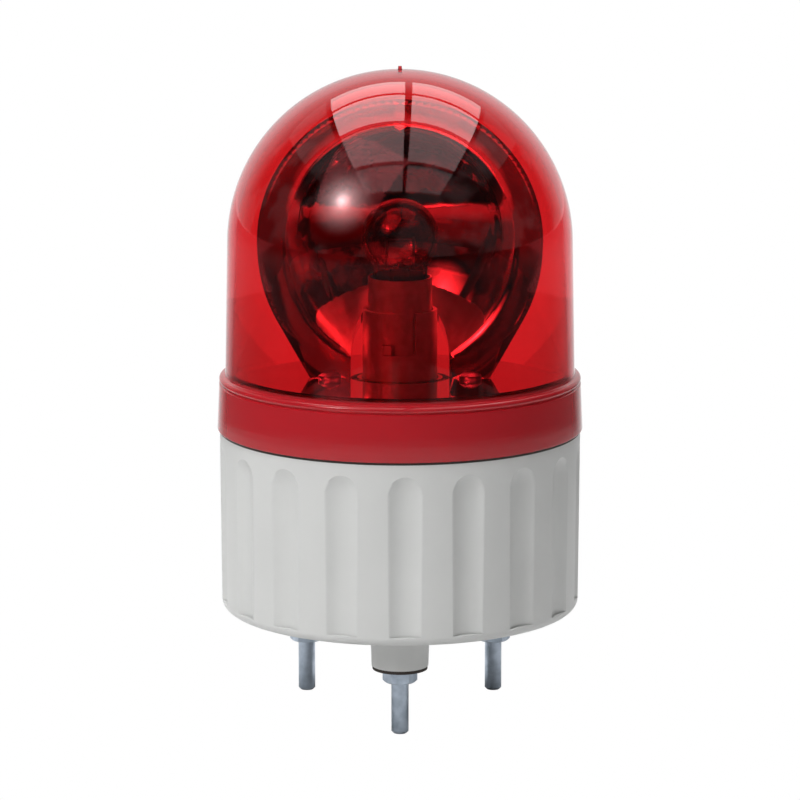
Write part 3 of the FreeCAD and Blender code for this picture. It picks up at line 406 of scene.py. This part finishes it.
@dataclass(frozen=True)
class Clear:
    """A clear solid: the red lens, or the lamp's glass.

    Attributes:
        name: The material's name.
        colour: What one wall lets through.
        ior: The index of refraction.
        roughness: The mean roughness.
        ripple: The height of the surface's ripple in metres.
        skirt: The height below which the wall is thick, hazy and deeper in colour.
        skirt_colour: The colour down there.
        haze: The share of light that the skirt scatters.
        bands: The turned bands on the skirt, per metre.
        band_height: The height of those bands in metres.
        patches: Darker patches per metre.
        shade: How much darker those patches are, as a share.
        wear: Rougher patches per metre.
        unevenness: How far the roughness strays from its mean, as a share.
        ripples: Ripples per metre.
        ripple_strength: How strongly the ripples show.
        band_strength: How strongly the bands show.
        band_stretch: How fine the bands are along each axis.
    """

    name: str
    colour: tuple[float, float, float]
    ior: float = 1.49
    roughness: float = 0.02
    ripple: float = 8e-6
    skirt: float = 0.0
    skirt_colour: tuple[float, float, float] = (0.0, 0.0, 0.0)
    haze: float = 0.0
    bands: float = 900.0
    band_height: float = 2.5e-5
    patches: float = 60.0
    shade: float = 0.03
    wear: float = 300.0
    unevenness: float = 0.5
    ripples: float = 110.0
    ripple_strength: float = 0.3
    band_strength: float = 0.8
    band_stretch: tuple[float, float, float] = (0.03, 0.03, 1.0)

    def material(self) -> bpy.types.Material:
        """Build the material."""
        nodes = Nodes(self.name)
        shader = nodes.surface(IOR=self.ior, Transmission_Weight=1.0)
        deep = tuple(c * (1 - self.shade) for c in self.colour)
        tint = nodes.ramp(nodes.noise(self.patches), deep, self.colour)
        banded = None
        if self.skirt:
            above = self.above_skirt(nodes)
            tint = nodes.blend(above, (*self.skirt_colour, 1.0), tint)
            clear = nodes.level(above, 1.0 - self.haze, 1.0)
            nodes.link(clear, shader.inputs["Transmission Weight"])
            bands = nodes.noise(self.bands, 2.0, self.band_stretch)
            height = nodes.blend(above, bands, (0.5, 0.5, 0.5, 1.0))
            banded = nodes.bump(height, self.band_strength, self.band_height)
        nodes.link(tint, shader.inputs["Base Color"])
        rough = nodes.level(nodes.noise(self.wear), self.roughness * (1 - self.unevenness),
                            self.roughness * (1 + self.unevenness))
        nodes.link(rough, shader.inputs["Roughness"])
        ripple = nodes.bump(nodes.noise(self.ripples, 1.0), self.ripple_strength, self.ripple,
                            banded)
        nodes.link(ripple, shader.inputs["Normal"])
        return nodes.material

    def above_skirt(self, nodes: Nodes) -> bpy.types.NodeSocket:
        """Rise from 0 to 1 over half a millimetre at the skirt's top."""
        height = nodes.add("SeparateXYZ")
        nodes.link(nodes.place(), height.inputs["Vector"])
        return nodes.past(height.outputs["Z"], self.skirt - MM / 4, self.skirt + MM / 4)


class Finish(Enum):
    """Every finish on the beacon."""

    GREY_ABS = Moulded("grey_abs", (0.63, 0.635, 0.625), 0.03, 0.38)
    BLACK_RUBBER = Moulded("black_rubber", (0.035, 0.022, 0.016), 0.3, 0.62, 1e-5, 2500.0)
    BLACK_PLASTIC = Moulded("black_plastic", (0.02, 0.02, 0.022), 0.2, 0.45)
    WHITE_NYLON = Moulded("white_nylon", (0.74, 0.72, 0.66), 0.06, 0.5)
    BROWN_LAMINATE = Moulded("brown_laminate", (0.13, 0.055, 0.02), 0.3, 0.55, 8e-6, 1800.0)
    GREEN_LAMINATE = Moulded("green_laminate", (0.012, 0.11, 0.035), 0.25, 0.3)
    ZINC_STEEL = Metal("zinc_steel", (0.50, 0.57, 0.66), (0.36, 0.42, 0.50), 0.3)
    SHEET_STEEL = Metal("sheet_steel", (0.56, 0.57, 0.58), (0.45, 0.46, 0.47), 0.38,
                        stretch=(1.0, 0.12, 1.0))
    SPRING_STEEL = Metal("spring_steel", (0.42, 0.43, 0.45), (0.33, 0.33, 0.34), 0.28)
    NICKEL_BRASS = Metal("nickel_brass", (0.78, 0.76, 0.72), (0.62, 0.60, 0.55), 0.42, 2e-6)
    BRASS = Metal("brass", (0.72, 0.49, 0.19), (0.52, 0.33, 0.12), 0.24, 2e-6)
    SOLDER = Metal("solder", (0.52, 0.52, 0.54), (0.38, 0.38, 0.39), 0.4, 2e-5)
    TUNGSTEN = Metal("tungsten", (0.22, 0.22, 0.23), (0.12, 0.12, 0.12), 0.45)
    CHROMED_PLASTIC = MirrorPlating()
    RED_LENS = Clear("red_lens", (0.845, 0.105, 0.12), skirt=80.9 * MM,
                     skirt_colour=(0.62, 0.016, 0.026), haze=0.62)
    LAMP_GLASS = Clear("lamp_glass", (0.96, 0.965, 0.97), 1.5, 0.01, 2e-6)

    def apply(self, piece: bpy.types.Object) -> bpy.types.Object:
        """Give a piece this finish in every material slot.

        Args:
            piece: The piece, new or a node of the frame.

        Returns:
            The same piece.
        """
        ready = bpy.data.materials.get(PREFIX + self.value.name)
        material = ready or self.value.material()
        if not piece.material_slots:
            piece.data.materials.append(material)
        for material_slot in piece.material_slots:
            material_slot.material = material
        return piece


# ---------------------------------------------------------------- shaping


class Outline:
    """Half a section, drawn corner by corner as (radius, height), then turned about the axis."""

    def __init__(self, radius: float, height: float) -> None:
        """Start at one corner."""
        self.corners: list[Vector] = [Vector((radius, 0.0, height))]

    def to(self, radius: float, height: float) -> "Outline":
        """Go straight to the next corner."""
        self.corners.append(Vector((radius, 0.0, height)))
        return self

    def round_about(self, radius: float, height: float, degrees: float, steps: int) -> "Outline":
        """Go round a centre.

        Args:
            radius: The centre's radius.
            height: The centre's height.
            degrees: How far to turn, positive from the radius towards the height.
            steps: How many edges to make.

        Returns:
            The outline itself.
        """
        centre = Vector((radius, 0.0, height))
        arm = self.corners[-1] - centre
        for step in range(1, steps + 1):
            turn = Matrix.Rotation(-math.radians(degrees) * step / steps, 3, "Y")
            self.corners.append(centre + turn @ arm)
        return self

    def turned(self, steps: int, start: float = 0.0,
               sweep: float = FULL_TURN) -> bmesh.types.BMesh:
        """Turn the closed outline about the beacon's axis.

        Args:
            steps: How many faces go round.
            start: Where it starts, in degrees.
            sweep: How far it turns, in degrees. Less than a full turn leaves two flat ends.

        Returns:
            The closed mesh.
        """
        mesh = bmesh.new()
        placed = Matrix.Rotation(math.radians(start), 3, "Z")
        verts = [mesh.verts.new(placed @ corner) for corner in self.corners]
        whole = sweep == FULL_TURN
        if whole:
            section = verts + [mesh.edges.new(pair) for pair in zip(verts, verts[1:] + verts[:1])]
        else:
            section = [mesh.faces.new(verts)]
        bmesh.ops.spin(mesh, geom=section, axis=UP, cent=ORIGIN, steps=steps,
                       angle=math.radians(sweep), use_merge=whole)
        bmesh.ops.remove_doubles(mesh, verts=mesh.verts, dist=SAME_POINT)
        bmesh.ops.dissolve_degenerate(mesh, dist=SLIVER, edges=mesh.edges)
        bmesh.ops.recalc_face_normals(mesh, faces=mesh.faces)
        return mesh


def piece_from(mesh: bmesh.types.BMesh, name: str, crease: float = 30.0) -> bpy.types.Object:
    """Turn a bmesh into an object with smooth faces and crisp edges.

    Args:
        mesh: The mesh, which is freed.
        name: The object's name.
        crease: Edges that turn by more than this, in degrees, stay crisp.

    Returns:
        The new object, in the scene.
    """
    data = bpy.data.meshes.new(name)
    mesh.to_mesh(data)
    mesh.free()
    data.shade_smooth()
    data.set_sharp_from_angle(angle=math.radians(crease))
    piece = bpy.data.objects.new(name, data)
    bpy.context.scene.collection.objects.link(piece)
    return piece


def bake(piece: bpy.types.Object) -> None:
    """Replace a piece's mesh by what its modifiers make of it."""
    bpy.context.view_layer.update()
    evaluated = piece.evaluated_get(bpy.context.evaluated_depsgraph_get())
    data = bpy.data.meshes.new_from_object(evaluated)
    piece.modifiers.clear()
    piece.data = data


def smoothed(node: str, name: str, crease: float) -> bpy.types.Object:
    """Copy a node, merge its triangles' corners, and shade it smooth with crisp edges.

    Args:
        node: The node to copy.
        name: The new piece's name.
        crease: Edges that turn by more than this, in degrees, stay crisp.

    Returns:
        The new object, in the scene.
    """
    mesh = bmesh.new()
    mesh.from_mesh(frame["nodes"][node].data)
    bmesh.ops.remove_doubles(mesh, verts=mesh.verts, dist=WELD)
    piece = piece_from(mesh, name, crease)
    modifier = piece.modifiers.new("even", "WEIGHTED_NORMAL")
    modifier.keep_sharp = True
    modifier.mode = "FACE_AREA_WITH_ANGLE"
    bake(piece)
    return piece


def join_on(piece: bpy.types.Object, addition: bpy.types.Object, crease: float) -> None:
    """Join one closed piece onto another and remove the one that was added.

    Args:
        piece: The piece that grows.
        addition: The closed shape that is joined on.
        crease: Edges that turn by more than this, in degrees, stay crisp.
    """
    modifier = piece.modifiers.new("join", "BOOLEAN")
    modifier.operation = "UNION"
    modifier.solver = "EXACT"
    modifier.object = addition
    bake(piece)
    piece.data.set_sharp_from_angle(angle=math.radians(crease))
    bpy.data.objects.remove(addition)


def settle(piece: bpy.types.Object, body: Body, finish: Finish, stands_for: Iterable[str] = (),
           ) -> bpy.types.Object:
    """Finish a new piece: its body, its finish and the nodes that it stands for.

    Args:
        piece: The new piece.
        body: The body that it rides on.
        finish: Its finish.
        stands_for: The nodes that it replaces.

    Returns:
        The same piece.
    """
    finish.apply(piece)
    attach(piece, body.value)
    if stands_for:
        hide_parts(*stands_for)
    return piece


# ---------------------------------------------------------------- sub-assemblies


@dataclass
class Assembly:
    """A group of pieces that is built and dressed together.

    Attributes:
        rim: The height of the housing's rim plane.
        crease: Edges of its nodes that turn by more than this, in degrees, stay crisp.
    """

    rim: float = field(default_factory=lambda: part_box("base_housing")[0][2] + BOSSES)
    crease: float = 28.0

    def build(self) -> list[str]:
        """Build the group and return its pieces' names."""
        raise NotImplementedError

    def smooth_copies(self, body: Body, finishes: dict[str, Finish]) -> list[str]:
        """Replace nodes by copies with merged, smoothly shaded surfaces.

        Args:
            body: The body that they ride on.
            finishes: The finish of each node.

        Returns:
            The new pieces' names.
        """
        names = []
        for node, finish in finishes.items():
            piece = smoothed(node, node + "_finished", self.crease)
            settle(piece, body, finish, [node])
            names.append(piece.name)
        return names


@dataclass
class Housing(Assembly):
    """The fluted housing with its studs, nuts, washers, gasket and grommet.

    Attributes:
        land_foot: Where the lands between the flutes begin, above the rim plane.
        land_top: Where they end.
        foot_radius: Their radius at the foot.
        top_radius: Their radius at the top.
        slack: How far a corner may lie off a land and still belong to it.
        steepest: The upward share of a face's normal up to which it can be part of a land.
    """

    crease: float = 19.0
    land_foot: float = 2.1 * MM
    land_top: float = 42.4 * MM
    foot_radius: float = 42.2 * MM
    top_radius: float = 42.45 * MM
    slack: float = 0.03 * MM
    steepest: float = 0.5

    def build(self) -> list[str]:
        """Build the housing."""
        names = self.smooth_copies(Body.HOUSING, {
            "base_housing": Finish.GREY_ABS,
            "mounting_studs": Finish.ZINC_STEEL,
            "stud_nuts": Finish.ZINC_STEEL,
            "stud_washers": Finish.BLACK_RUBBER,
            "lens_gasket": Finish.BLACK_RUBBER,
            "cable_grommet": Finish.BLACK_RUBBER,
        })
        self.round_lands(bpy.data.objects[names[0]].data)
        return names

    def on_land(self, place: Vector) -> bool:
        """Tell whether a corner lies on the lands between the flutes."""
        height = place.z - self.rim
        share = (height - self.land_foot) / (self.land_top - self.land_foot)
        land = self.foot_radius + share * (self.top_radius - self.foot_radius)
        return (self.land_foot - self.slack <= height <= self.land_top + self.slack
                and place.xy.length > land - self.slack)

    def round_lands(self, mesh: bpy.types.Mesh) -> None:
        """Shade the lands as the cone that they are, so that their long triangles don't show.

        Args:
            mesh: The housing's mesh.
        """
        normals = [Vector(corner.vector) for corner in mesh.corner_normals]
        for face in mesh.polygons:
            places = [mesh.vertices[vertex].co for vertex in face.vertices]
            if abs(face.normal.z) < self.steepest and all(map(self.on_land, places)):
                for corner, place in zip(face.loop_indices, places):
                    normals[corner] = Vector((place.x, place.y, 0.0)).normalized()
        mesh.normals_split_custom_set(normals)


@dataclass
class Lens(Assembly):
    """The domed lens with its collar, bead and bayonet lugs.

    Attributes:
        foot: The collar's lower edge above the rim plane.
        bore: The collar's inner radius.
        foot_radius: The collar's outer radius at its lower edge.
        edge: The radius of the round on that edge.
        band_radius: Its outer radius under the bead.
        band_top: The height of the groove under the bead.
        chamfer: The height of the chamfer into that groove.
        groove: The depth of that groove.
        groove_height: The height of that groove.
        bead_radius: The bead's outer radius.
        bead: The radius of the bead's own round.
        bead_foot: The bead's lower corner above band_top.
        bead_in: How far that corner lies inside bead_radius.
        bead_turn: How far round the bead goes, in degrees.
        bead_middle: The bead's middle above band_top.
        neck_radius: The radius of the groove above the bead.
        neck: The height of that groove.
        neck_depth: The depth of that groove.
        neck_height: Half its height.
        wall_foot: Where the dome's wall begins.
        wall_radius: The dome's outer radius there.
        radius: The dome's outer radius at its centre.
        centre: The dome's centre above the rim plane.
        wall: The dome's thickness.
        gate: The radius of the moulding's gate mark at the apex.
        gate_height: The height of that mark.
        gate_taper: The radius at its top, as a share of the radius at its foot.
        dome_steps: The edges in a quarter of the dome.
        steps: The faces round the lens.
        lug_steps: The faces round one lug.
        lug_angles: Where the bayonet lugs stand inside the collar, in degrees.
        lug_sweep: How wide one lug is, in degrees.
        lug_level: The lugs' lower face above the rim plane.
        lug_height: The lugs' height.
        lug_reach: How far the lugs stand out of the bore.
    """

    foot: float = 43.0 * MM
    bore: float = 40.7 * MM
    foot_radius: float = 43.0 * MM
    edge: float = 0.25 * MM
    band_radius: float = 42.5 * MM
    band_top: float = 54.0 * MM
    chamfer: float = 0.3 * MM
    groove: float = 0.45 * MM
    groove_height: float = 0.2 * MM
    bead_radius: float = 42.5 * MM
    bead: float = 0.8 * MM
    bead_foot: float = 0.25 * MM
    bead_in: float = 0.24 * MM
    bead_turn: float = 140.0
    bead_middle: float = 0.85 * MM
    neck_radius: float = 41.5 * MM
    neck: float = 56.0 * MM
    neck_depth: float = 0.25 * MM
    neck_height: float = 0.1 * MM
    wall_foot: float = 57.4 * MM
    wall_radius: float = 41.0 * MM
    radius: float = 40.4 * MM
    centre: float = 86.8 * MM
    wall: float = 2.0 * MM
    gate: float = 0.5 * MM
    gate_height: float = 0.9 * MM
    gate_taper: float = 0.8
    dome_steps: int = 56
    steps: int = 256
    lug_steps: int = 6
    lug_angles: tuple[float, ...] = (-60.0, 60.0, 180.0)
    lug_sweep: float = 9.0
    lug_level: float = 46.3 * MM
    lug_height: float = 2.2 * MM
    lug_reach: float = 1.4 * MM
    crease: float = 40.0

    def build(self) -> list[str]:
        """Build the lens."""
        piece = piece_from(self.shell(), "lens_shell", self.crease)
        for angle in self.lug_angles:
            join_on(piece, piece_from(self.lug(angle), "lug", self.crease), self.crease)
        settle(piece, Body.LENS, Finish.RED_LENS, ["lens_dome"])
        return [piece.name]

    def shell(self) -> bmesh.types.BMesh:
        """Turn the lens's closed section."""
        outline = self.collar()
        self.dome(outline)
        return outline.turned(self.steps)

    def collar(self) -> Outline:
        """Draw the collar's outside, from its bore up to the bead and the groove above it."""
        foot, band_top, neck = self.rim + self.foot, self.rim + self.band_top, self.rim + self.neck
        outline = Outline(self.bore, foot)
        outline.to(self.foot_radius - self.edge, foot)
        outline.round_about(self.foot_radius - self.edge, foot + self.edge, 90.0, 4)
        outline.to(self.band_radius, band_top - self.chamfer)
        outline.to(self.band_radius - self.groove, band_top)
        outline.to(self.band_radius - self.groove, band_top + self.groove_height)
        outline.to(self.bead_radius - self.bead_in, band_top + self.bead_foot)
        outline.round_about(self.bead_radius - self.bead, band_top + self.bead_middle,
                            self.bead_turn, 8)
        outline.to(self.neck_radius - self.neck_depth, neck - self.neck_height)
        outline.to(self.neck_radius - self.neck_depth, neck + self.neck_height)
        return outline

    def dome(self, outline: Outline) -> None:
        """Go over the dome's outside and back down its inside to the bore."""
        wall_foot, centre = self.rim + self.wall_foot, self.rim + self.centre
        outline.to(self.wall_radius, wall_foot)
        outline.to(self.radius, centre)
        apex = math.asin(self.gate / self.radius)
        outline.round_about(0.0, centre, 90.0 - math.degrees(apex), self.dome_steps)
        outline.to(self.gate * self.gate_taper, centre + self.radius + self.gate_height)
        outline.to(0.0, centre + self.radius + self.gate_height)
        outline.to(0.0, centre + self.radius - self.wall)
        outline.round_about(0.0, centre, -90.0, self.dome_steps)
        outline.to(self.wall_radius - self.wall, wall_foot)
        outline.to(self.bore, self.rim + self.band_top)

    def lug(self, angle: float) -> bmesh.types.BMesh:
        """Turn one bayonet lug's closed section through its own width.

        Args:
            angle: Where the lug's middle stands, in degrees.

        Returns:
            The closed mesh, whose outer side lies inside the collar's wall.
        """
        low = self.rim + self.lug_level
        inner, outer = self.bore - self.lug_reach, self.bore + self.wall / 2
        outline = Outline(inner, low).to(outer, low)
        outline.to(outer, low + self.lug_height).to(inner, low + self.lug_height)
        return outline.turned(self.lug_steps, angle - self.lug_sweep / 2, self.lug_sweep)


@dataclass
class Reflector(Assembly):
    """The turntable's floor and dish, its screws and its gear."""

    def build(self) -> list[str]:
        """Build the reflector."""
        return self.smooth_copies(Body.TURNTABLE, {
            "reflector": Finish.CHROMED_PLASTIC,
            "reflector_screws": Finish.ZINC_STEEL,
            "turntable_gear": Finish.WHITE_NYLON,
        })


@dataclass
class Drive(Assembly):
    """The idler, the motor and what carries them."""

    def build(self) -> list[str]:
        """Build the drive."""
        names = self.smooth_copies(Body.IDLER, {"idler_gear": Finish.WHITE_NYLON})
        names += self.smooth_copies(Body.MOTOR_ROTOR, {
            "motor_shaft": Finish.SPRING_STEEL,
            "motor_pinion": Finish.BRASS,
        })
        names += self.smooth_copies(Body.HOUSING, {
            "motor_can": Finish.SHEET_STEEL,
            "motor_screws": Finish.ZINC_STEEL,
            "idler_pin": Finish.SPRING_STEEL,
            "idler_clip": Finish.SPRING_STEEL,
            "chassis_plate": Finish.SHEET_STEEL,
            "chassis_screws": Finish.ZINC_STEEL,
            "turntable_bush": Finish.BRASS,
            "thrust_washer": Finish.WHITE_NYLON,
            "bush_clip": Finish.SPRING_STEEL,
        })
        return names


@dataclass
class Lamp(Assembly):
    """The lamp and its holder."""

    def build(self) -> list[str]:
        """Build the lamp and its holder."""
        names = self.smooth_copies(Body.LAMP, {
            "lamp_cap": Finish.NICKEL_BRASS,
            "lamp_contact": Finish.SOLDER,
            "lamp_glass": Finish.LAMP_GLASS,
            "lamp_stem": Finish.LAMP_GLASS,
            "lamp_filament": Finish.TUNGSTEN,
        })
        names += self.smooth_copies(Body.HOUSING, {
            "lamp_holder": Finish.NICKEL_BRASS,
            "lamp_insulator": Finish.BROWN_LAMINATE,
            "plunger_spring": Finish.SPRING_STEEL,
        })
        names += self.smooth_copies(Body.PLUNGER, {"lamp_plunger": Finish.BRASS})
        return names


@dataclass
class Electrics(Assembly):
    """The circuit board, its screws and its terminals."""

    def build(self) -> list[str]:
        """Build the electrics."""
        return self.smooth_copies(Body.HOUSING, {
            "circuit_board": Finish.GREEN_LAMINATE,
            "board_screws": Finish.ZINC_STEEL,
            "terminal_block": Finish.BLACK_PLASTIC,
        })


# ---------------------------------------------------------------- studio


@dataclass(frozen=True)
class Key:
    """The round key lamp, bright in its middle and dim towards its edge.

    Attributes:
        place: Where it hangs.
        size: Its diameter.
        power: Its power in watts.
        gain: Its strength in the middle.
        fall: Its share of that strength at shares of its radius.
    """

    place: tuple[float, float, float] = (-0.60, -0.62, 0.64)
    size: float = 1.0
    power: float = 10.4
    gain: float = 5.5
    fall: tuple[tuple[float, float], ...] = ((0.1, 0.62), (0.25, 0.22), (0.5, 0.06))

    def shade(self, light: bpy.types.Light) -> None:
        """Let the strength fall from the lamp's middle to its edge."""
        light.use_nodes = True
        nodes = Wiring(light.node_tree)
        emission = next(node for node in light.node_tree.nodes if node.type == "EMISSION")
        offset = nodes.add("VectorMath", operation="DISTANCE")
        offset.inputs[1].default_value = (0.5, 0.5, 0.0)
        nodes.link(nodes.add("NewGeometry").outputs["Parametric"], offset.inputs[0])
        radius = nodes.maths("MULTIPLY", offset.outputs["Value"], 2.0)
        fall = nodes.add("FloatCurve")
        curve = fall.mapping.curves[0]
        curve.points[0].location, curve.points[1].location = (0.0, 1.0), (1.0, 0.0)
        for along, level in self.fall:
            curve.points.new(along, level)
        fall.mapping.update()
        nodes.link(radius, fall.inputs["Value"])
        strength = nodes.maths("MULTIPLY", fall.outputs["Value"], self.gain)
        nodes.link(strength, emission.inputs["Strength"])


@dataclass(frozen=True)
class Ceiling:
    """Four by four panes of light, parted by dark bars.

    Attributes:
        height: How high the panes hang.
        columns: The power of each column, from left to right, in watts.
        rows: The share of that power for each row, from the front to the back.
        pitch: From one pane to the next, across and back.
        pane: One pane's width and depth.
        across: Where the columns' middle is.
        middle: Which row hangs over the beacon, counted from 0.
    """

    height: float = 1.05
    columns: tuple[float, ...] = (0.25, 2.8, 2.6, 0.2)
    rows: tuple[float, ...] = (0.25, 0.5, 1.15, 0.75)
    pitch: tuple[float, float] = (0.62, 0.56)
    pane: tuple[float, float] = (0.57, 0.50)
    across: float = 0.06
    middle: float = 1.43

    def place(self, column: int, row: int) -> Vector:
        """Tell where a pane hangs."""
        x = self.pitch[0] * (column - (len(self.columns) - 1) / 2) + self.across
        return Vector((x, self.pitch[1] * (row - self.middle), self.height))


@dataclass
class Studio:
    """A white sweep, soft lamps and the camera.

    Attributes:
        distance: From the camera to its target.
        pitch: How far the camera looks down, in degrees.
        lens: The camera's focal length in millimetres.
        target: The camera's target's height on the beacon's axis.
        aim: The lamps' target's height on the axis.
        room: The strength of the world in front of the beacon.
        clutter: How much brighter its brightest patches are, as a factor.
        backdrop: The strength behind the beacon.
        floor_size: Half the floor's side.
        floor_grey: The floor's grey near the beacon.
        far_painted_shade: Painted shade: the floor's darker grey for mirrored rays and rays through
            the lens that end further away, standing in for floor beyond the lamps' light.
        painted_shade_reach: How far from the beacon that painted shade begins, and where it is
            fully reached.
        lens_white: How far back rays through the lens begin to see white, and see only white.
        mirror_white: The same for mirrored rays, by how squarely back their end lies, up to 1.
        dusk: How squarely back the room begins to brighten, and is as bright as the backdrop.
        world_white: The same, for the world's white.
        patches: The noise at which the clutter begins to brighten, and is at its brightest.
        key: The key lamp.
        ceiling: The panes overhead.
        fill_place: Where the fill hangs.
        fill_size: Its side.
        fill_power: Its power in watts.
    """

    distance: float = 0.94
    pitch: float = 11.02
    lens: float = 179.6
    target: float = 73.72 * MM
    aim: float = 90.0 * MM
    room: float = 0.04
    clutter: float = 6.0
    backdrop: float = 0.85
    floor_size: float = 4.0
    floor_grey: float = 0.66
    far_painted_shade: float = 0.12
    painted_shade_reach: tuple[float, float] = (0.22, 0.34)
    lens_white: tuple[float, float] = (0.2, 0.3)
    mirror_white: tuple[float, float] = (0.76, 1.0)
    dusk: tuple[float, float] = (0.5, 0.85)
    world_white: tuple[float, float] = (0.85, 0.93)
    patches: tuple[float, float] = (0.5, 0.58)
    key: Key = Key()
    ceiling: Ceiling = Ceiling()
    fill_place: tuple[float, float, float] = (-0.5, -0.55, 1.05)
    fill_size: float = 1.0
    fill_power: float = 7.5

    def build(self) -> list[str]:
        """Build the floor, the world, the lamps and the camera."""
        self.floor()
        self.world()
        self.lamps()
        self.camera()
        scene = bpy.context.scene
        scene.view_settings.view_transform = "Standard"
        return ["floor", "camera"]

    def floor(self) -> None:
        """Make the pale floor, which is white to the camera and, behind the beacon, to the lens."""
        mesh = bmesh.new()
        bmesh.ops.create_grid(mesh, x_segments=1, y_segments=1, size=self.floor_size)
        floor = piece_from(mesh, "floor")
        nodes = Nodes("floor_white")
        place = nodes.add("SeparateXYZ")
        nodes.link(nodes.place(), place.inputs["Vector"])
        reach = nodes.add("VectorMath", operation="LENGTH")
        nodes.link(nodes.place(), reach.inputs[0])
        squarely = nodes.maths("DIVIDE", place.outputs["Y"], reach.outputs["Value"])
        seen = nodes.seen(nodes.past(place.outputs["Y"], *self.lens_white),
                          nodes.past(squarely, *self.mirror_white))
        path = nodes.add("LightPath")
        indirect = nodes.maths("MAXIMUM", path.outputs["Is Glossy Ray"],
                               path.outputs["Is Transmission Ray"])
        # Painted shade: mirrored rays and rays through the lens that end far from the beacon see
        # the floor darker, standing in for floor beyond the lamps' light.
        painted_shade_share = nodes.maths("MULTIPLY", indirect,
                              nodes.past(reach.outputs["Value"], *self.painted_shade_reach))
        diffuse = nodes.add("BsdfDiffuse")
        grey = nodes.ramp(painted_shade_share, (self.floor_grey,) * 3, (self.far_painted_shade,) * 3, 0.0, 1.0)
        nodes.link(grey, diffuse.inputs["Color"])
        white = nodes.add("Emission", Color=(1.0, 1.0, 1.0, 1.0), Strength=1.0)
        mix = nodes.add("MixShader")
        nodes.link(seen, mix.inputs["Fac"])
        nodes.link(diffuse.outputs["BSDF"], mix.inputs[1])
        nodes.link(white.outputs["Emission"], mix.inputs[2])
        nodes.link(mix.outputs["Shader"], nodes.output.inputs["Surface"])
        floor.data.materials.append(nodes.material)

    def world(self) -> None:
        """Show white behind the beacon, and a dim room in front of it."""
        world = bpy.data.worlds.new("studio")
        bpy.context.scene.world = world
        world.use_nodes = True
        world.node_tree.nodes.clear()
        nodes = Wiring(world.node_tree)
        coordinate = nodes.add("TexCoord").outputs["Generated"]
        way = nodes.add("SeparateXYZ")
        nodes.link(coordinate, way.inputs["Vector"])
        clutter = nodes.add("TexNoise", Scale=3.0, Detail=4.0)
        nodes.link(coordinate, clutter.inputs["Vector"])
        dim = nodes.add("MapRange", From_Min=self.patches[0], From_Max=self.patches[1],
                        To_Min=self.room, To_Max=self.room * self.clutter)
        nodes.link(clutter.outputs["Fac"], dim.inputs["Value"])
        room = nodes.add("MapRange", interpolation_type="SMOOTHSTEP", From_Min=self.dusk[0],
                         From_Max=self.dusk[1], To_Max=self.backdrop)
        nodes.link(way.outputs["Y"], room.inputs["Value"])
        nodes.link(dim.outputs["Result"], room.inputs["To Min"])
        strength = nodes.add("Mix")
        back = nodes.past(way.outputs["Y"], *self.world_white)
        nodes.link(nodes.seen(back, back), strength.inputs["Factor"])
        nodes.link(room.outputs["Result"], strength.inputs[2])
        strength.inputs[3].default_value = 1.0
        background = nodes.add("Background")
        nodes.link(strength.outputs[0], background.inputs["Strength"])
        output = nodes.add("OutputWorld")
        nodes.link(background.outputs["Background"], output.inputs["Surface"])

    def lamps(self) -> None:
        """Hang the round key lamp, the panes overhead and the fill."""
        target = Vector((0.0, 0.0, self.aim))
        key = self.lamp("key", Vector(self.key.place), target, (self.key.size,) * 2,
                        self.key.power)
        key.shape = "DISK"
        self.key.shade(key)
        for column, power in enumerate(self.ceiling.columns):
            for row, share in enumerate(self.ceiling.rows):
                place = self.ceiling.place(column, row)
                self.lamp(f"pane_{column}_{row}", place, place - Vector(UP), self.ceiling.pane,
                          power * share)
        self.lamp("fill", Vector(self.fill_place), target, (self.fill_size,) * 2,
                  self.fill_power, mirrored=False)

    def lamp(self, name: str, place: Vector, target: Vector, size: tuple[float, float],
             power: float, mirrored: bool = True) -> bpy.types.AreaLight:
        """Hang one soft lamp.

        Args:
            name: The lamp's name.
            place: Where it hangs.
            target: What it faces.
            size: Its width and height.
            power: Its power in watts.
            mirrored: Whether glossy surfaces show it.

        Returns:
            The lamp's light, a rectangle.
        """
        light = bpy.data.lights.new(name, "AREA")
        light.shape = "RECTANGLE"
        light.size, light.size_y = size
        light.energy = power
        lamp = bpy.data.objects.new(name, light)
        lamp.visible_glossy = mirrored
        lamp.location = place
        lamp.rotation_euler = (target - place).to_track_quat("-Z", "Y").to_euler()
        bpy.context.scene.collection.objects.link(lamp)
        return light

    def camera(self) -> None:
        """Set up the camera."""
        data = bpy.data.cameras.new("camera")
        data.lens = self.lens
        data.sensor_width = SENSOR
        data.clip_start = 10 * MM
        camera = bpy.data.objects.new("camera", data)
        pitch = math.radians(self.pitch)
        target = Vector((0.0, 0.0, self.target))
        arm = Vector((0.0, -math.cos(pitch), math.sin(pitch))) * self.distance
        camera.location = target + arm
        camera.rotation_euler = (-arm).to_track_quat("-Z", "Y").to_euler()
        bpy.context.scene.collection.objects.link(camera)
        bpy.context.scene.camera = camera


def main() -> None:
    """Build every sub-assembly in order and log the names of its pieces."""
    logging.basicConfig(level=logging.INFO, format="%(name)s: %(message)s")
    for assembly in (Housing(), Lens(), Reflector(), Drive(), Lamp(), Electrics(), Studio()):
        names = assembly.build()
        LOG.info("%s: %s", type(assembly).__name__, ", ".join(names))


if __name__ == "__main__":
    main()
